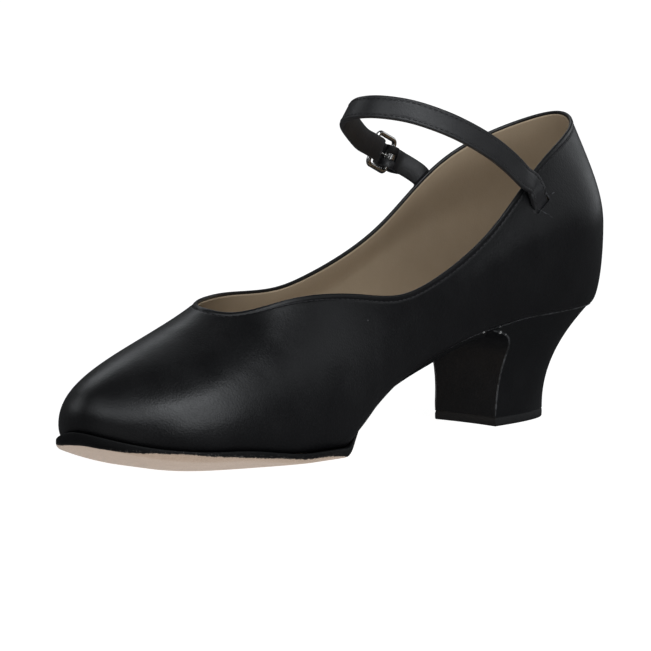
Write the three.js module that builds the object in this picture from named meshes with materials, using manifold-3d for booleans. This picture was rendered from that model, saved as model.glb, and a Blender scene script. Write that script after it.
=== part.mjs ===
// A right-foot character shoe: a round-toed black leather court shoe with an instep strap, a thin suede
// outsole, an insole and a covered, raked Cuban heel with a top piece. Millimetres, +X to the toe, +Y to
// the inner (medial) side, +Z up. The shoe stands on its heel and forefoot at z = 0.
import * as THREE from "three";
import Module from "manifold-3d";

// Driving dimensions
const LENGTH = 249; // back of the counter to the toe tip
const BALL_WIDTH = 80; // widest plan width of the upper
const SEAT_HEIGHT = 38.2; // floor to the upper's underside at the heel
const QUARTER_HEIGHT = 64; // seat to the topline at the back
const WALL = 1.6; // upper with its lining
const GAP = 0.3; // clearance between pieces that touch

// Outsole
const SOLE_THICKNESS = 3.2; // in the forefoot
const WAIST_THICKNESS = 2.2; // under the arch
const SOLE_BEVEL = 1.1; // at its lower edge
const TREAD_X = 0.62 * LENGTH; // where the tread's flat spot starts
const SPRING_X = 0.7 * LENGTH; // where it ends and the toe spring starts
const TOE_SPRING = 14; // rise under the toe tip
const SPRING_POWER = 3.3; // how late the toe spring rises
const TREAD_FLAT = 6; // half width of the flat spot
const TREAD_CROWN = 3.4; // rise of the sides over it, at half the ball width
const TOE_CROWN = 7.5; // the same under the toe
const ARCH_LIFT = 8; // extra rise of the waist on the inner side, at half the ball width

// Insole
const INSOLE_THICKNESS = 2.2;
const INSOLE_CLEARANCE = 0.7; // inside the feather line

// Heel
const HEEL_BREAST_X = 56; // front face at the floor
const HEEL_LENGTH = 34.5; // front to back, at the floor
const HEEL_WIDTH = 27.2; // at the floor
const HEEL_SQUARENESS = 2.5; // 2 is an ellipse
const HEEL_FLARE_X = 68.5; // how far forward the breast's top reaches
const BREAST_RAKE = 2.6; // how far the breast leans back below that
const BREAST_HOLLOW = 0.8; // depth of the breast's hollow
const TIP_THICKNESS = 3;

// Strap over the instep
const STRAP_WIDTH = 8;
const STRAP_THICKNESS = 1.8;
const STRAP_ROUND = 0.5; // radius of its long edges
const STRAP_ROOM = 0.6; // between the strap and the upper that it crosses
const ANKLE_X = 0.233 * LENGTH; // middle of the ellipse that the strap follows
const ANKLE_LENGTH = 0.199 * LENGTH; // its half length
const ANKLE_WIDTH = 0.34 * BALL_WIDTH; // its half width
const SLIT_CLEARANCE = 0.4; // round the strap in the quarter's slit

// Buckle on the outer side
const WIRE_RADIUS = 0.85; // frame
const BUCKLE_LENGTH = 11; // between the middles of its two bars
const BUCKLE_WIDTH = 11.4; // between the middles of its two sides
const BUCKLE_CORNER = 1.7;
const PRONG_RADIUS = 0.6;
const PIVOT_CLEARANCE = 0.35; // round the bar, in the tab's loop and the prong's
const LOOP_RADIUS = 2.25; // outside of the tab's loop round the bar
const PRONG_LOOP_RADIUS = 1.95;
const PRONG_LOOP_WIDTH = 1.7;
const TAB_THICKNESS = 1.6;
const TAB_WIDTH = 7.4;

// Facets
const COLUMNS = 96; // round the upper
const LOWER_ROWS = 4; // feather line to widest line
const UPPER_ROWS = 7; // widest line to topline
const SOLE_ROWS = 48; // along the sole and insole
const HEEL_ROWS = 8; // along the heel
const HEEL_LEVELS = 8; // up the heel
const ACROSS = 10; // across the sole and heel
const INSOLE_ACROSS = 6;
const ROUND_END = 2.2; // run of closer rows at a rounded end

// Rise of the sole's long profile, as a share of the seat's, at shares of LENGTH from the back.
const CLIMB = [
  { x: 0.0, rise: 1.0 },
  { x: 0.185, rise: 0.985 },
  { x: 0.27, rise: 0.9 },
  { x: 0.39, rise: 0.63 },
  { x: 0.465, rise: 0.45 },
  { x: 0.53, rise: 0.26 },
  { x: 0.575, rise: 0.11 },
  { x: TREAD_X / LENGTH, rise: 0.0 },
  { x: 1.0, rise: 0.0 },
];

// Sections round the shoe, from the toe by the inner side. First the widest line: x is a share of LENGTH
// from the back, y, tuck and edge are shares of BALL_WIDTH and swell is a share of QUARTER_HEIGHT, the
// widest line's height. tuck draws the feather line in under it, and edge sets the sole out from that.
const OUTLINE = [
  { name: "toe", x: 1, y: 0.037, swell: 0.078, tuck: 0.03, edge: 0.041 },
  { name: "toe_inner", x: 0.96, y: 0.269, swell: 0.086, tuck: 0.03, edge: 0.04 },
  { name: "toe_side_inner", x: 0.876, y: 0.425, swell: 0.125, tuck: 0.031, edge: 0.039 },
  { name: "ball_inner", x: 0.731, y: 0.487, swell: 0.172, tuck: 0.035, edge: 0.04 },
  { name: "joint_inner", x: 0.627, y: 0.456, swell: 0.219, tuck: 0.05, edge: 0.045 },
  { name: "waist_inner", x: 0.53, y: 0.394, swell: 0.234, tuck: 0.1, edge: -0.007 },
  { name: "arch_inner", x: 0.418, y: 0.35, swell: 0.281, tuck: 0.113, edge: -0.007 },
  { name: "breast_inner", x: 0.281, y: 0.35, swell: 0.344, tuck: 0.087, edge: -0.007 },
  { name: "counter_inner", x: 0.133, y: 0.356, swell: 0.406, tuck: 0.06, edge: -0.007 },
  { name: "heel_inner", x: 0.026, y: 0.237, swell: 0.422, tuck: 0.057, edge: -0.007 },
  { name: "back", x: 0, y: 0, swell: 0.422, tuck: 0.05, edge: -0.007 },
  { name: "heel_outer", x: 0.026, y: -0.231, swell: 0.422, tuck: 0.057, edge: -0.007 },
  { name: "counter_outer", x: 0.133, y: -0.356, swell: 0.406, tuck: 0.06, edge: -0.007 },
  { name: "breast_outer", x: 0.281, y: -0.369, swell: 0.312, tuck: 0.075, edge: -0.007 },
  { name: "arch_outer", x: 0.418, y: -0.412, swell: 0.25, tuck: 0.069, edge: -0.007 },
  { name: "waist_outer", x: 0.538, y: -0.475, swell: 0.188, tuck: 0.056, edge: 0.025 },
  { name: "joint_outer", x: 0.635, y: -0.512, swell: 0.156, tuck: 0.04, edge: 0.04 },
  { name: "ball_outer", x: 0.747, y: -0.494, swell: 0.141, tuck: 0.035, edge: 0.04 },
  { name: "toe_side_outer", x: 0.859, y: -0.412, swell: 0.109, tuck: 0.031, edge: 0.04 },
  { name: "toe_outer", x: 0.95, y: -0.237, swell: 0.086, tuck: 0.03, edge: 0.04 },
];

// Then the topline: x and y as above, and rise as a share of the collar's height over the floor. lean is
// the wall's angle over level there, in degrees, and low and high are the fullness of the wall's curve at
// the widest line and at the topline.
const TOPLINE = [
  { name: "toe", x: 0.761, y: 0.044, rise: 0.5147, lean: 27, low: 0.23, high: 0.42 },
  { name: "toe_inner", x: 0.753, y: 0.144, rise: 0.5068, lean: 30, low: 0.24, high: 0.4 },
  { name: "toe_side_inner", x: 0.725, y: 0.231, rise: 0.5205, lean: 40, low: 0.3, high: 0.36 },
  { name: "ball_inner", x: 0.655, y: 0.306, rise: 0.5479, lean: 54, low: 0.36, high: 0.36 },
  { name: "joint_inner", x: 0.574, y: 0.338, rise: 0.5372, lean: 66, low: 0.36, high: 0.36 },
  { name: "waist_inner", x: 0.498, y: 0.35, rise: 0.5137, lean: 76, low: 0.35, high: 0.35 },
  { name: "arch_inner", x: 0.414, y: 0.338, rise: 0.544, lean: 82, low: 0.35, high: 0.35 },
  { name: "breast_inner", x: 0.289, y: 0.315, rise: 0.6771, lean: 82, low: 0.35, high: 0.35 },
  { name: "counter_inner", x: 0.165, y: 0.269, rise: 0.8806, lean: 76, low: 0.35, high: 0.35 },
  { name: "heel_inner", x: 0.06, y: 0.148, rise: 0.9746, lean: 68, low: 0.38, high: 0.32 },
  { name: "back", x: 0.03, y: 0, rise: 1.0029, lean: 66, low: 0.4, high: 0.3 },
  { name: "heel_outer", x: 0.06, y: -0.144, rise: 0.9716, lean: 68, low: 0.38, high: 0.32 },
  { name: "counter_outer", x: 0.165, y: -0.269, rise: 0.8659, lean: 76, low: 0.35, high: 0.35 },
  { name: "breast_outer", x: 0.289, y: -0.325, rise: 0.6507, lean: 80, low: 0.35, high: 0.35 },
  { name: "arch_outer", x: 0.414, y: -0.356, rise: 0.5235, lean: 76, low: 0.35, high: 0.35 },
  { name: "waist_outer", x: 0.498, y: -0.362, rise: 0.4892, lean: 68, low: 0.35, high: 0.35 },
  { name: "joint_outer", x: 0.574, y: -0.338, rise: 0.499, lean: 58, low: 0.36, high: 0.36 },
  { name: "ball_outer", x: 0.643, y: -0.275, rise: 0.5068, lean: 48, low: 0.36, high: 0.36 },
  { name: "toe_side_outer", x: 0.701, y: -0.175, rise: 0.5108, lean: 36, low: 0.3, high: 0.38 },
  { name: "toe_outer", x: 0.741, y: -0.062, rise: 0.5147, lean: 29, low: 0.27, high: 0.42 },
];

// The strap's middle line round its ellipse, from the inner side by the front to the outer side: turn is in
// degrees from the front, rise is a share of the collar's height over the floor, and tilt is the face's
// angle to the upright in degrees.
const STRAP_LINE = [
  { turn: 91, rise: 0.845, tilt: 10 },
  { turn: 83, rise: 0.897, tilt: 10 },
  { turn: 73, rise: 0.953, tilt: 12 },
  { turn: 61, rise: 1.006, tilt: 15 },
  { turn: 48, rise: 1.05, tilt: 18 },
  { turn: 31, rise: 1.087, tilt: 23 },
  { turn: 12, rise: 1.1, tilt: 28 },
  { turn: -5, rise: 1.092, tilt: 31 },
  { turn: -21, rise: 1.071, tilt: 31 },
  { turn: -36, rise: 1.04, tilt: 28 },
  { turn: -50, rise: 0.998, tilt: 22 },
  { turn: -62, rise: 0.95, tilt: 15 },
];

// Where the strap and the buckle's tab lie on the quarters: around and up as for the upper. out is from its
// outer face, in shares of STRAP_ROOM outside it and of WALL inside it.
const STRAP_ROOT = [
  { around: 0.3962, up: 1.44, out: -2.4 },
  { around: 0.3956, up: 1.54, out: -1.3 },
  { around: 0.395, up: 1.64, out: -0.2 },
  { around: 0.3944, up: 1.76, out: 0.75 },
  { around: 0.394, up: 1.9, out: 0.85 },
];
const TAB_ROOT = [
  { around: 0.602, up: 1.44, out: -2.4 },
  { around: 0.602, up: 1.54, out: -1.3 },
  { around: 0.602, up: 1.64, out: -0.2 },
  { around: 0.602, up: 1.76, out: 0.75 },
  { around: 0.602, up: 1.92, out: 0.95 },
];

// The strap's end through the buckle, in shares of BUCKLE_LENGTH: along is towards the front from the
// hinge bar, out is from its middle.
const STRAP_TAIL = [
  { along: 1.55, out: -0.21 },
  { along: 1.23, out: -0.205 },
  { along: 1.0, out: -0.19 },
  { along: 0.77, out: -0.1 },
  { along: 0.5, out: 0.08 },
  { along: 0.24, out: 0.262 },
  { along: 0.0, out: 0.323 },
  { along: -0.36, out: 0.318 },
  { along: -0.91, out: 0.282 },
  { along: -1.45, out: 0.236 },
];
// The tab's end by the hinge bar, in the same way.
const TAB_END = [
  { along: -0.45, out: -0.082 },
  { along: -0.09, out: -0.082 },
];
const HINGE_TURN = -86; // way round the ellipse to the buckle's hinge bar
const HINGE_RISE = 0.868;

// A smooth step from 0 to 1.
function smoothStep(u) {
  const t = Math.min(1, Math.max(0, u));
  return t * t * (3 - 2 * t);
}

// A monotone cubic through a table's rows.
function monotoneCurve(xs, ys) {
  const slope = xs.slice(1).map((x, i) => (ys[i + 1] - ys[i]) / (x - xs[i]));
  const tangent = xs.map((_, i) => {
    if (i === 0 || i === xs.length - 1) return 0;
    const product = slope[i - 1] * slope[i];
    return product <= 0 ? 0 : (2 * product) / (slope[i - 1] + slope[i]);
  });
  return (at) => {
    let i = 0;
    while (i < xs.length - 2 && at > xs[i + 1]) i++;
    const h = xs[i + 1] - xs[i];
    const t = Math.min(1, Math.max(0, (at - xs[i]) / h));
    const start = (1 + 2 * t) * (1 - t) ** 2 * ys[i] + t * (1 - t) ** 2 * h * tangent[i];
    const end = t * t * (3 - 2 * t) * ys[i + 1] + t * t * (t - 1) * h * tangent[i + 1];
    return start + end;
  };
}

const climb = monotoneCurve(CLIMB.map((row) => row.x), CLIMB.map((row) => row.rise));

// Height of the outsole's top face, where the upper, insole and heel meet it.
function bottomHeight(x, y) {
  const half = BALL_WIDTH / 2;
  const heel = (SEAT_HEIGHT - SOLE_THICKNESS) * climb(x / LENGTH);
  const ahead = Math.max(0, (x - SPRING_X) / (LENGTH - SPRING_X));
  const toe = TOE_SPRING * ahead ** SPRING_POWER;
  const forward = smoothStep((x - HEEL_FLARE_X) / (SPRING_X - HEEL_FLARE_X));
  const rise = TREAD_CROWN * forward + (TOE_CROWN - TREAD_CROWN) * smoothStep(2 * ahead);
  const side = Math.max(0, Math.abs(y) - TREAD_FLAT) / (half - TREAD_FLAT);
  const crown = rise * side ** 2;
  const waist = Math.min(1, Math.max(0, (x - HEEL_BREAST_X) / (TREAD_X - HEEL_BREAST_X)));
  const lift = ARCH_LIFT * Math.sin(Math.PI * waist) ** 2 * (Math.max(0, y) / half) ** 2;
  return SOLE_THICKNESS + heel + toe + crown + lift;
}

// A closed C2 cubic through values at increasing knots, which repeats after period.
function closedSpline(knots, values, period) {
  const n = knots.length;
  const step = knots.map((k, i) => (i + 1 < n ? knots[i + 1] : knots[0] + period) - k);
  const rows = knots.map((_, i) => {
    const last = (i + n - 1) % n;
    const next = (i + 1) % n;
    const row = new Array(n + 1).fill(0);
    row[last] = step[last];
    row[i] = 2 * (step[last] + step[i]);
    row[next] = step[i];
    row[n] = 6 * ((values[next] - values[i]) / step[i] - (values[i] - values[last]) / step[last]);
    return row;
  });
  for (let i = 0; i < n; i++) {
    for (let j = i + 1; j < n; j++) {
      const share = rows[j][i] / rows[i][i];
      for (let k = i; k <= n; k++) rows[j][k] -= share * rows[i][k];
    }
  }
  const bend = new Array(n).fill(0);
  for (let i = n - 1; i >= 0; i--) {
    let sum = rows[i][n];
    for (let k = i + 1; k < n; k++) sum -= rows[i][k] * bend[k];
    bend[i] = sum / rows[i][i];
  }
  return (at) => {
    const t = ((at % period) + period) % period;
    let i = n - 1;
    while (knots[i] > t) i--;
    const h = step[i];
    const b = (t - knots[i]) / h;
    const a = 1 - b;
    const curve = (((a ** 3 - a) * bend[i] + (b ** 3 - b) * bend[(i + 1) % n]) * h * h) / 6;
    return a * values[i] + b * values[(i + 1) % n] + curve;
  };
}

// The sections' columns as smooth functions of the way round the shoe, from 0 at the toe to 1.
const stations = OUTLINE.map((row) => new THREE.Vector2(row.x * LENGTH, row.y * BALL_WIDTH));
const runs = stations.map((p, i) => p.distanceTo(stations[(i + 1) % stations.length]));
const girth = runs.reduce((sum, run) => sum + run);
const knots = runs.map((_, i) => runs.slice(0, i).reduce((sum, run) => sum + run, 0) / girth);
const BACK = knots[OUTLINE.findIndex((row) => row.name === "back")];
function columnsOf(table) {
  const keys = Object.keys(table[0]).filter((key) => key !== "name");
  const curve = (key) => closedSpline(knots, table.map((row) => row[key]), 1);
  return Object.fromEntries(keys.map((key) => [key, curve(key)]));
}
const base = columnsOf(OUTLINE);
const topline = columnsOf(TOPLINE);

// Plan point of the upper's widest line, and the inward direction there.
function widestLine(around) {
  return new THREE.Vector2(base.x(around) * LENGTH, base.y(around) * BALL_WIDTH);
}
function inward(around) {
  const step = 0.002;
  const along = widestLine(around + step).sub(widestLine(around - step)).normalize();
  return new THREE.Vector2(-along.y, along.x);
}

// Plan point a distance out from the feather line, where the upper meets the sole.
function featherLine(around, out = 0) {
  return widestLine(around).addScaledVector(inward(around), base.tuck(around) * BALL_WIDTH - out);
}

// Plan point of the outsole's edge.
function soleEdge(around) {
  return featherLine(around, base.edge(around) * BALL_WIDTH);
}

// One point of the upper's outer face: around from 0 at the toe, by the inner side, to 1, and up from 0
// at the feather line, by 1 at the widest line, to 2 at the topline.
function upperPoint(around, up) {
  const widest = widestLine(around);
  const feather = featherLine(around);
  const featherZ = bottomHeight(feather.x, feather.y) + GAP;
  const widestZ = featherZ + base.swell(around) * QUARTER_HEIGHT;
  if (up <= 1) {
    const turn = (up * Math.PI) / 2;
    const plan = feather.lerp(widest, Math.sin(turn));
    return new THREE.Vector3(plan.x, plan.y, featherZ + (widestZ - featherZ) * (1 - Math.cos(turn)));
  }
  const top = new THREE.Vector2(topline.x(around) * LENGTH, topline.y(around) * BALL_WIDTH);
  const topZ = topline.rise(around) * (SEAT_HEIGHT + QUARTER_HEIGHT);
  const start = new THREE.Vector3(widest.x, widest.y, widestZ);
  const end = new THREE.Vector3(top.x, top.y, topZ);
  const chord = start.distanceTo(end);
  const lean = THREE.MathUtils.degToRad(topline.lean(around));
  const level = top.sub(widest).normalize().multiplyScalar(Math.cos(lean));
  const startHandle = start.clone();
  startHandle.z += topline.low(around) * chord;
  const endHandle = end.clone();
  const slope = new THREE.Vector3(level.x, level.y, Math.sin(lean));
  endHandle.addScaledVector(slope, -topline.high(around) * chord);
  return new THREE.CubicBezierCurve3(start, startHandle, endHandle, end).getPoint(up - 1);
}

// The outward normal of the upper's outer face.
function upperNormal(around, up) {
  const step = 1e-3;
  const across = upperPoint(around + step, up).sub(upperPoint(around - step, up));
  const below = upperPoint(around, Math.max(0, up - step));
  const upward = upperPoint(around, Math.min(2, up + step)).sub(below);
  return across.cross(upward).normalize();
}

function solid(points, index) {
  return new THREE.BufferGeometry()
    .setAttribute("position", new THREE.Float32BufferAttribute(points.flatMap((p) => [p.x, p.y, p.z]), 3))
    .setIndex(index);
}

// A closed solid from rings of points that wrap both ways.
function wrappedRings(rings) {
  const size = rings[0].length;
  const index = [];
  for (let r = 0; r < rings.length; r++) {
    const next = ((r + 1) % rings.length) * size;
    for (let i = 0; i < size; i++) {
      const j = (i + 1) % size;
      index.push(r * size + i, r * size + j, next + j, r * size + i, next + j, next + i);
    }
  }
  return solid(rings.flat(), index);
}

// A closed solid from levels, lowest first, each a grid of rows of points from the inner side across: its
// top and bottom are the last and first grids, and its walls join the grids' rims.
function stackedGrids(levels) {
  const rows = levels[0].length;
  const across = levels[0][0].length;
  const rim = [];
  for (let j = 0; j < across; j++) rim.push([0, j]);
  for (let i = 1; i < rows; i++) rim.push([i, across - 1]);
  for (let j = across - 2; j >= 0; j--) rim.push([rows - 1, j]);
  for (let i = rows - 2; i > 0; i--) rim.push([i, 0]);
  const at = (level, i, j) => (level * rows + i) * across + j;
  const index = [];
  const top = levels.length - 1;
  for (let i = 0; i < rows - 1; i++) {
    for (let j = 0; j < across - 1; j++) {
      index.push(at(top, i, j), at(top, i + 1, j), at(top, i + 1, j + 1));
      index.push(at(top, i, j), at(top, i + 1, j + 1), at(top, i, j + 1));
      index.push(at(0, i, j), at(0, i + 1, j + 1), at(0, i + 1, j));
      index.push(at(0, i, j), at(0, i, j + 1), at(0, i + 1, j + 1));
    }
  }
  for (let level = 0; level < top; level++) {
    rim.forEach(([i, j], k) => {
      const [p, q] = rim[(k + 1) % rim.length];
      index.push(at(level, i, j), at(level + 1, p, q), at(level, p, q));
      index.push(at(level, i, j), at(level + 1, i, j), at(level + 1, p, q));
    });
  }
  return solid(levels.flat(2), index);
}

// Where a closed outline reaches x, between two ways round it.
function aroundAt(outline, x, from, to) {
  let [low, high] = [from, to];
  for (let i = 0; i < 40; i++) {
    const middle = (low + high) / 2;
    if (outline(middle).x > x) low = middle;
    else high = middle;
  }
  return (low + high) / 2;
}

// Rows of plan points straight across an outline, at the given x positions.
function rowsAcross(outline, xs, across = ACROSS) {
  return xs.map((x) => {
    const inner = outline(aroundAt(outline, x, 0, BACK));
    const outer = outline(aroundAt(outline, x, 1, BACK));
    return Array.from({ length: across + 1 }, (_, j) => inner.clone().lerp(outer, j / across));
  });
}

const raise = (rows, height) => rows.map((row) => row.map((p) => new THREE.Vector3(p.x, p.y, height(p))));

// Rings of a section, as [across, out] pairs, swept through nodes { at, out }.
function sweptRings(nodes, section, steps, widthAt = () => 1) {
  const path = new THREE.CatmullRomCurve3(nodes.map((node) => node.at));
  const facing = new THREE.CatmullRomCurve3(nodes.map((node) => node.out));
  return Array.from({ length: steps + 1 }, (_, i) => {
    const t = i / steps;
    const middle = path.getPoint(t);
    const along = path.getTangent(t);
    const out = facing.getPoint(t);
    out.addScaledVector(along, -out.dot(along)).normalize();
    const across = out.clone().cross(along);
    const width = widthAt(1 - t);
    const place = ([a, o]) => middle.clone().addScaledVector(across, a * width).addScaledVector(out, o);
    return section.map(place);
  });
}

// A closed solid from a run of convex rings.
function cappedRings(rings) {
  const size = rings[0].length;
  const last = (rings.length - 1) * size;
  const index = [];
  for (let r = 0; r < rings.length - 1; r++) {
    for (let i = 0; i < size; i++) {
      const [a, b] = [r * size + i, r * size + ((i + 1) % size)];
      index.push(a, b, b + size, a, b + size, a + size);
    }
  }
  for (let i = 1; i < size - 1; i++) index.push(0, i + 1, i, last, last + i, last + i + 1);
  return solid(rings.flat(), index);
}

function roundedStrip(width, thickness, radius) {
  const [w, t] = [width / 2, thickness / 2];
  const [a, o] = [w - radius, t - radius];
  return [[w, -o], [w, o], [a, t], [-a, t], [-w, o], [-w, -o], [-a, -t], [a, -t]];
}

function circle(radius, sides) {
  return Array.from({ length: sides }, (_, i) => {
    const turn = (2 * Math.PI * i) / sides;
    return [radius * Math.cos(turn), radius * Math.sin(turn)];
  });
}

// Points on a quarter, and round the strap's ellipse.
function onQuarter({ around, up, out }, thickness) {
  const facing = upperNormal(around, up);
  const lift = out > 0 ? STRAP_ROOM * out + thickness / 2 : out * WALL;
  return { at: upperPoint(around, up).addScaledVector(facing, lift), out: facing };
}
function roundAnkle({ turn, rise, tilt }) {
  const way = THREE.MathUtils.degToRad(turn);
  const lean = THREE.MathUtils.degToRad(tilt);
  const x = ANKLE_X + ANKLE_LENGTH * Math.cos(way);
  const at = new THREE.Vector3(x, ANKLE_WIDTH * Math.sin(way), rise * (SEAT_HEIGHT + QUARTER_HEIGHT));
  const level = new THREE.Vector2(Math.cos(way) / ANKLE_LENGTH, Math.sin(way) / ANKLE_WIDTH).normalize();
  const out = new THREE.Vector3(level.x * Math.cos(lean), level.y * Math.cos(lean), Math.sin(lean));
  return { at, out };
}

// The buckle's own axes: along to the front, out from the ellipse, and across, from its hinge bar's middle.
const hinge = roundAnkle({ turn: HINGE_TURN, rise: HINGE_RISE, tilt: 8 });
const ahead = roundAnkle(STRAP_LINE[STRAP_LINE.length - 1]);
const buckleAlong = ahead.at.clone().sub(hinge.at).normalize();
const buckleOut = hinge.out.clone().addScaledVector(buckleAlong, -hinge.out.dot(buckleAlong)).normalize();
const buckleAcross = buckleOut.clone().cross(buckleAlong);
hinge.at.addScaledVector(buckleOut, LOOP_RADIUS);
function inBuckle(along, out, across = 0) {
  return hinge.at.clone()
    .addScaledVector(buckleAlong, along)
    .addScaledVector(buckleOut, out)
    .addScaledVector(buckleAcross, across);
}

function byBuckle({ along, out }) {
  return { at: inBuckle(along * BUCKLE_LENGTH, out * BUCKLE_LENGTH), out: buckleOut.clone() };
}

// Solids are joined and cut as manifolds.
const wasm = await Module();
wasm.setup();
function toManifold(geometry) {
  return new wasm.Manifold(new wasm.Mesh({
    numProp: 3,
    vertProperties: geometry.attributes.position.array,
    triVerts: new Uint32Array(geometry.index.array),
  }));
}
function toGeometry(manifold) {
  const mesh = manifold.getMesh();
  return new THREE.BufferGeometry()
    .setAttribute("position", new THREE.BufferAttribute(new Float32Array(mesh.vertProperties), 3))
    .setIndex(new THREE.BufferAttribute(new Uint32Array(mesh.triVerts), 1));
}

// Strap, tab and prong, as swept runs; extra widens one for the hole that it passes through.
function strapNodes() {
  const root = STRAP_ROOT.map((row) => onQuarter(row, STRAP_THICKNESS));
  const round = STRAP_LINE.map(roundAnkle);
  const tail = STRAP_TAIL.map(byBuckle);
  return [...root, ...round, ...tail];
}
function tabNodes() {
  const root = TAB_ROOT.map((row) => onQuarter(row, TAB_THICKNESS));
  return [...root, ...TAB_END.map(byBuckle)];
}
function strapSweep(extra, steps) {
  const section = roundedStrip(STRAP_WIDTH + 2 * extra, STRAP_THICKNESS + 2 * extra, STRAP_ROUND);
  const point = (left) => Math.min(1, 0.35 + Math.sqrt(left * 20) * 0.65);
  return cappedRings(sweptRings(strapNodes(), section, steps, point));
}
function tabSweep(extra) {
  const section = roundedStrip(TAB_WIDTH + 2 * extra, TAB_THICKNESS + 2 * extra, STRAP_ROUND);
  return cappedRings(sweptRings(tabNodes(), section, 10));
}
function rod(from, to, radius, sides) {
  const nodes = [from, to].map((at) => ({ at, out: buckleOut.clone() }));
  return toManifold(cappedRings(sweptRings(nodes, circle(radius, sides), 1)));
}
function prongPin(extra) {
  const base = inBuckle(WIRE_RADIUS, PRONG_LOOP_RADIUS - PRONG_RADIUS);
  const tip = inBuckle(BUCKLE_LENGTH + 1.6 * WIRE_RADIUS, 2.3 * WIRE_RADIUS);
  return rod(base, tip, PRONG_RADIUS + extra, 8);
}
function acrossHinge(radius, half, sides) {
  return rod(inBuckle(0, 0, -half), inBuckle(0, 0, half), radius, sides);
}

// Strap: from the inner quarter's slit, round its ellipse and through the buckle
function strapGeometry() {
  return toGeometry(toManifold(strapSweep(0, 54)).subtract(prongPin(PIVOT_CLEARANCE)));
}

// Tab: from the outer quarter's slit to its loop round the hinge bar, notched for the prong
function tabGeometry() {
  const bore = acrossHinge(WIRE_RADIUS + PIVOT_CLEARANCE, TAB_WIDTH, 10);
  const notch = acrossHinge(LOOP_RADIUS + PIVOT_CLEARANCE, PRONG_LOOP_WIDTH / 2 + PIVOT_CLEARANCE, 8);
  const whole = toManifold(tabSweep(0)).add(acrossHinge(LOOP_RADIUS, TAB_WIDTH / 2, 12));
  return toGeometry(whole.subtract(bore).subtract(notch));
}

// Prong: a loop round the hinge bar and a pin through the strap to the far bar
function prongGeometry() {
  const bore = acrossHinge(WIRE_RADIUS + PIVOT_CLEARANCE, TAB_WIDTH, 10);
  const loop = acrossHinge(PRONG_LOOP_RADIUS, PRONG_LOOP_WIDTH / 2, 12).add(prongPin(0));
  return toGeometry(loop.subtract(bore));
}

// Buckle frame: a wire rectangle with rounded corners
function buckleGeometry() {
  const [length, half] = [BUCKLE_LENGTH, BUCKLE_WIDTH / 2];
  const corners = [[length, half, 0], [length, -half, 270], [0, -half, 180], [0, half, 90]];
  const rings = corners.flatMap(([along, across, start]) => {
    const inAlong = along - Math.sign(along - length / 2) * BUCKLE_CORNER;
    const inAcross = across - Math.sign(across) * BUCKLE_CORNER;
    return [90, 67.5, 45, 22.5, 0].map((step) => {
      const turn = THREE.MathUtils.degToRad(start + step);
      const away = buckleAlong.clone().multiplyScalar(Math.cos(turn));
      away.addScaledVector(buckleAcross, Math.sin(turn));
      const middle = inBuckle(inAlong, 0, inAcross).addScaledVector(away, BUCKLE_CORNER);
      return circle(WIRE_RADIUS, 10).map(([a, o]) => (
        middle.clone().addScaledVector(away, a).addScaledVector(buckleOut, o)
      ));
    });
  });
  return wrappedRings(rings);
}

// Upper: one hollow wall, open at the collar and underneath, slit for the strap and the tab
function upperGeometry() {
  const ups = [];
  for (let i = 0; i <= LOWER_ROWS; i++) ups.push(i / LOWER_ROWS);
  for (let i = 1; i <= UPPER_ROWS; i++) ups.push(1 + i / UPPER_ROWS);
  const arounds = Array.from({ length: COLUMNS }, (_, i) => i / COLUMNS);
  const inside = (a, up) => upperPoint(a, up).addScaledVector(upperNormal(a, up), -WALL);
  const outer = ups.map((up) => arounds.map((a) => upperPoint(a, up)));
  const inner = ups.map((up) => arounds.map((a) => inside(a, up)));
  const wall = toManifold(wrappedRings([...outer, ...inner.reverse()]));
  const strapSlit = toManifold(strapSweep(SLIT_CLEARANCE, 54));
  const tabSlit = toManifold(tabSweep(SLIT_CLEARANCE));
  return toGeometry(wall.subtract(strapSlit).subtract(tabSlit));
}

// Where the sole's and the insole's rows cross the shoe: evenly, and closer at a rounded end.
function rowPositions(front, back) {
  const even = Array.from({ length: SOLE_ROWS }, (_, i) => LENGTH * (1 - (i + 0.5) / SOLE_ROWS));
  const inside = even.filter((x) => x < front - 1.8 * ROUND_END && x > back + 1.8 * ROUND_END);
  const close = [0, 0.36 * ROUND_END, ROUND_END];
  return [...close.map((run) => front - run), ...inside, ...close.reverse().map((run) => back + run)];
}

// Insole: a board inside the feather line, from toe to heel
function insoleGeometry() {
  const outline = (around) => featherLine(around, -INSOLE_CLEARANCE);
  const xs = rowPositions(outline(0).x - 0.4, outline(BACK).x + 0.4);
  const rows = rowsAcross(outline, xs, INSOLE_ACROSS);
  const base = (p) => bottomHeight(p.x, p.y) + GAP;
  return stackedGrids([raise(rows, base), raise(rows, (p) => base(p) + INSOLE_THICKNESS)]);
}

// Outsole: toe to breast, thinner in the waist
function outsoleGeometry() {
  const xs = rowPositions(soleEdge(0).x - 0.4, HEEL_FLARE_X + GAP);
  const rows = rowsAcross(soleEdge, xs);
  const bevelled = (around) => soleEdge(around).addScaledVector(inward(around), SOLE_BEVEL);
  const foot = rowsAcross(bevelled, [xs[0] - SOLE_BEVEL, xs[1] - SOLE_BEVEL, ...xs.slice(2)]);
  const thickness = (x) => {
    const forward = smoothStep((x - LENGTH / 2) / (TREAD_X - LENGTH / 2));
    return WAIST_THICKNESS + (SOLE_THICKNESS - WAIST_THICKNESS) * forward;
  };
  const top = (p) => bottomHeight(p.x, p.y);
  const under = (p) => top(p) - thickness(p.x);
  return stackedGrids([raise(foot, under), raise(rows, (p) => under(p) + SOLE_BEVEL), raise(rows, top)]);
}

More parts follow.
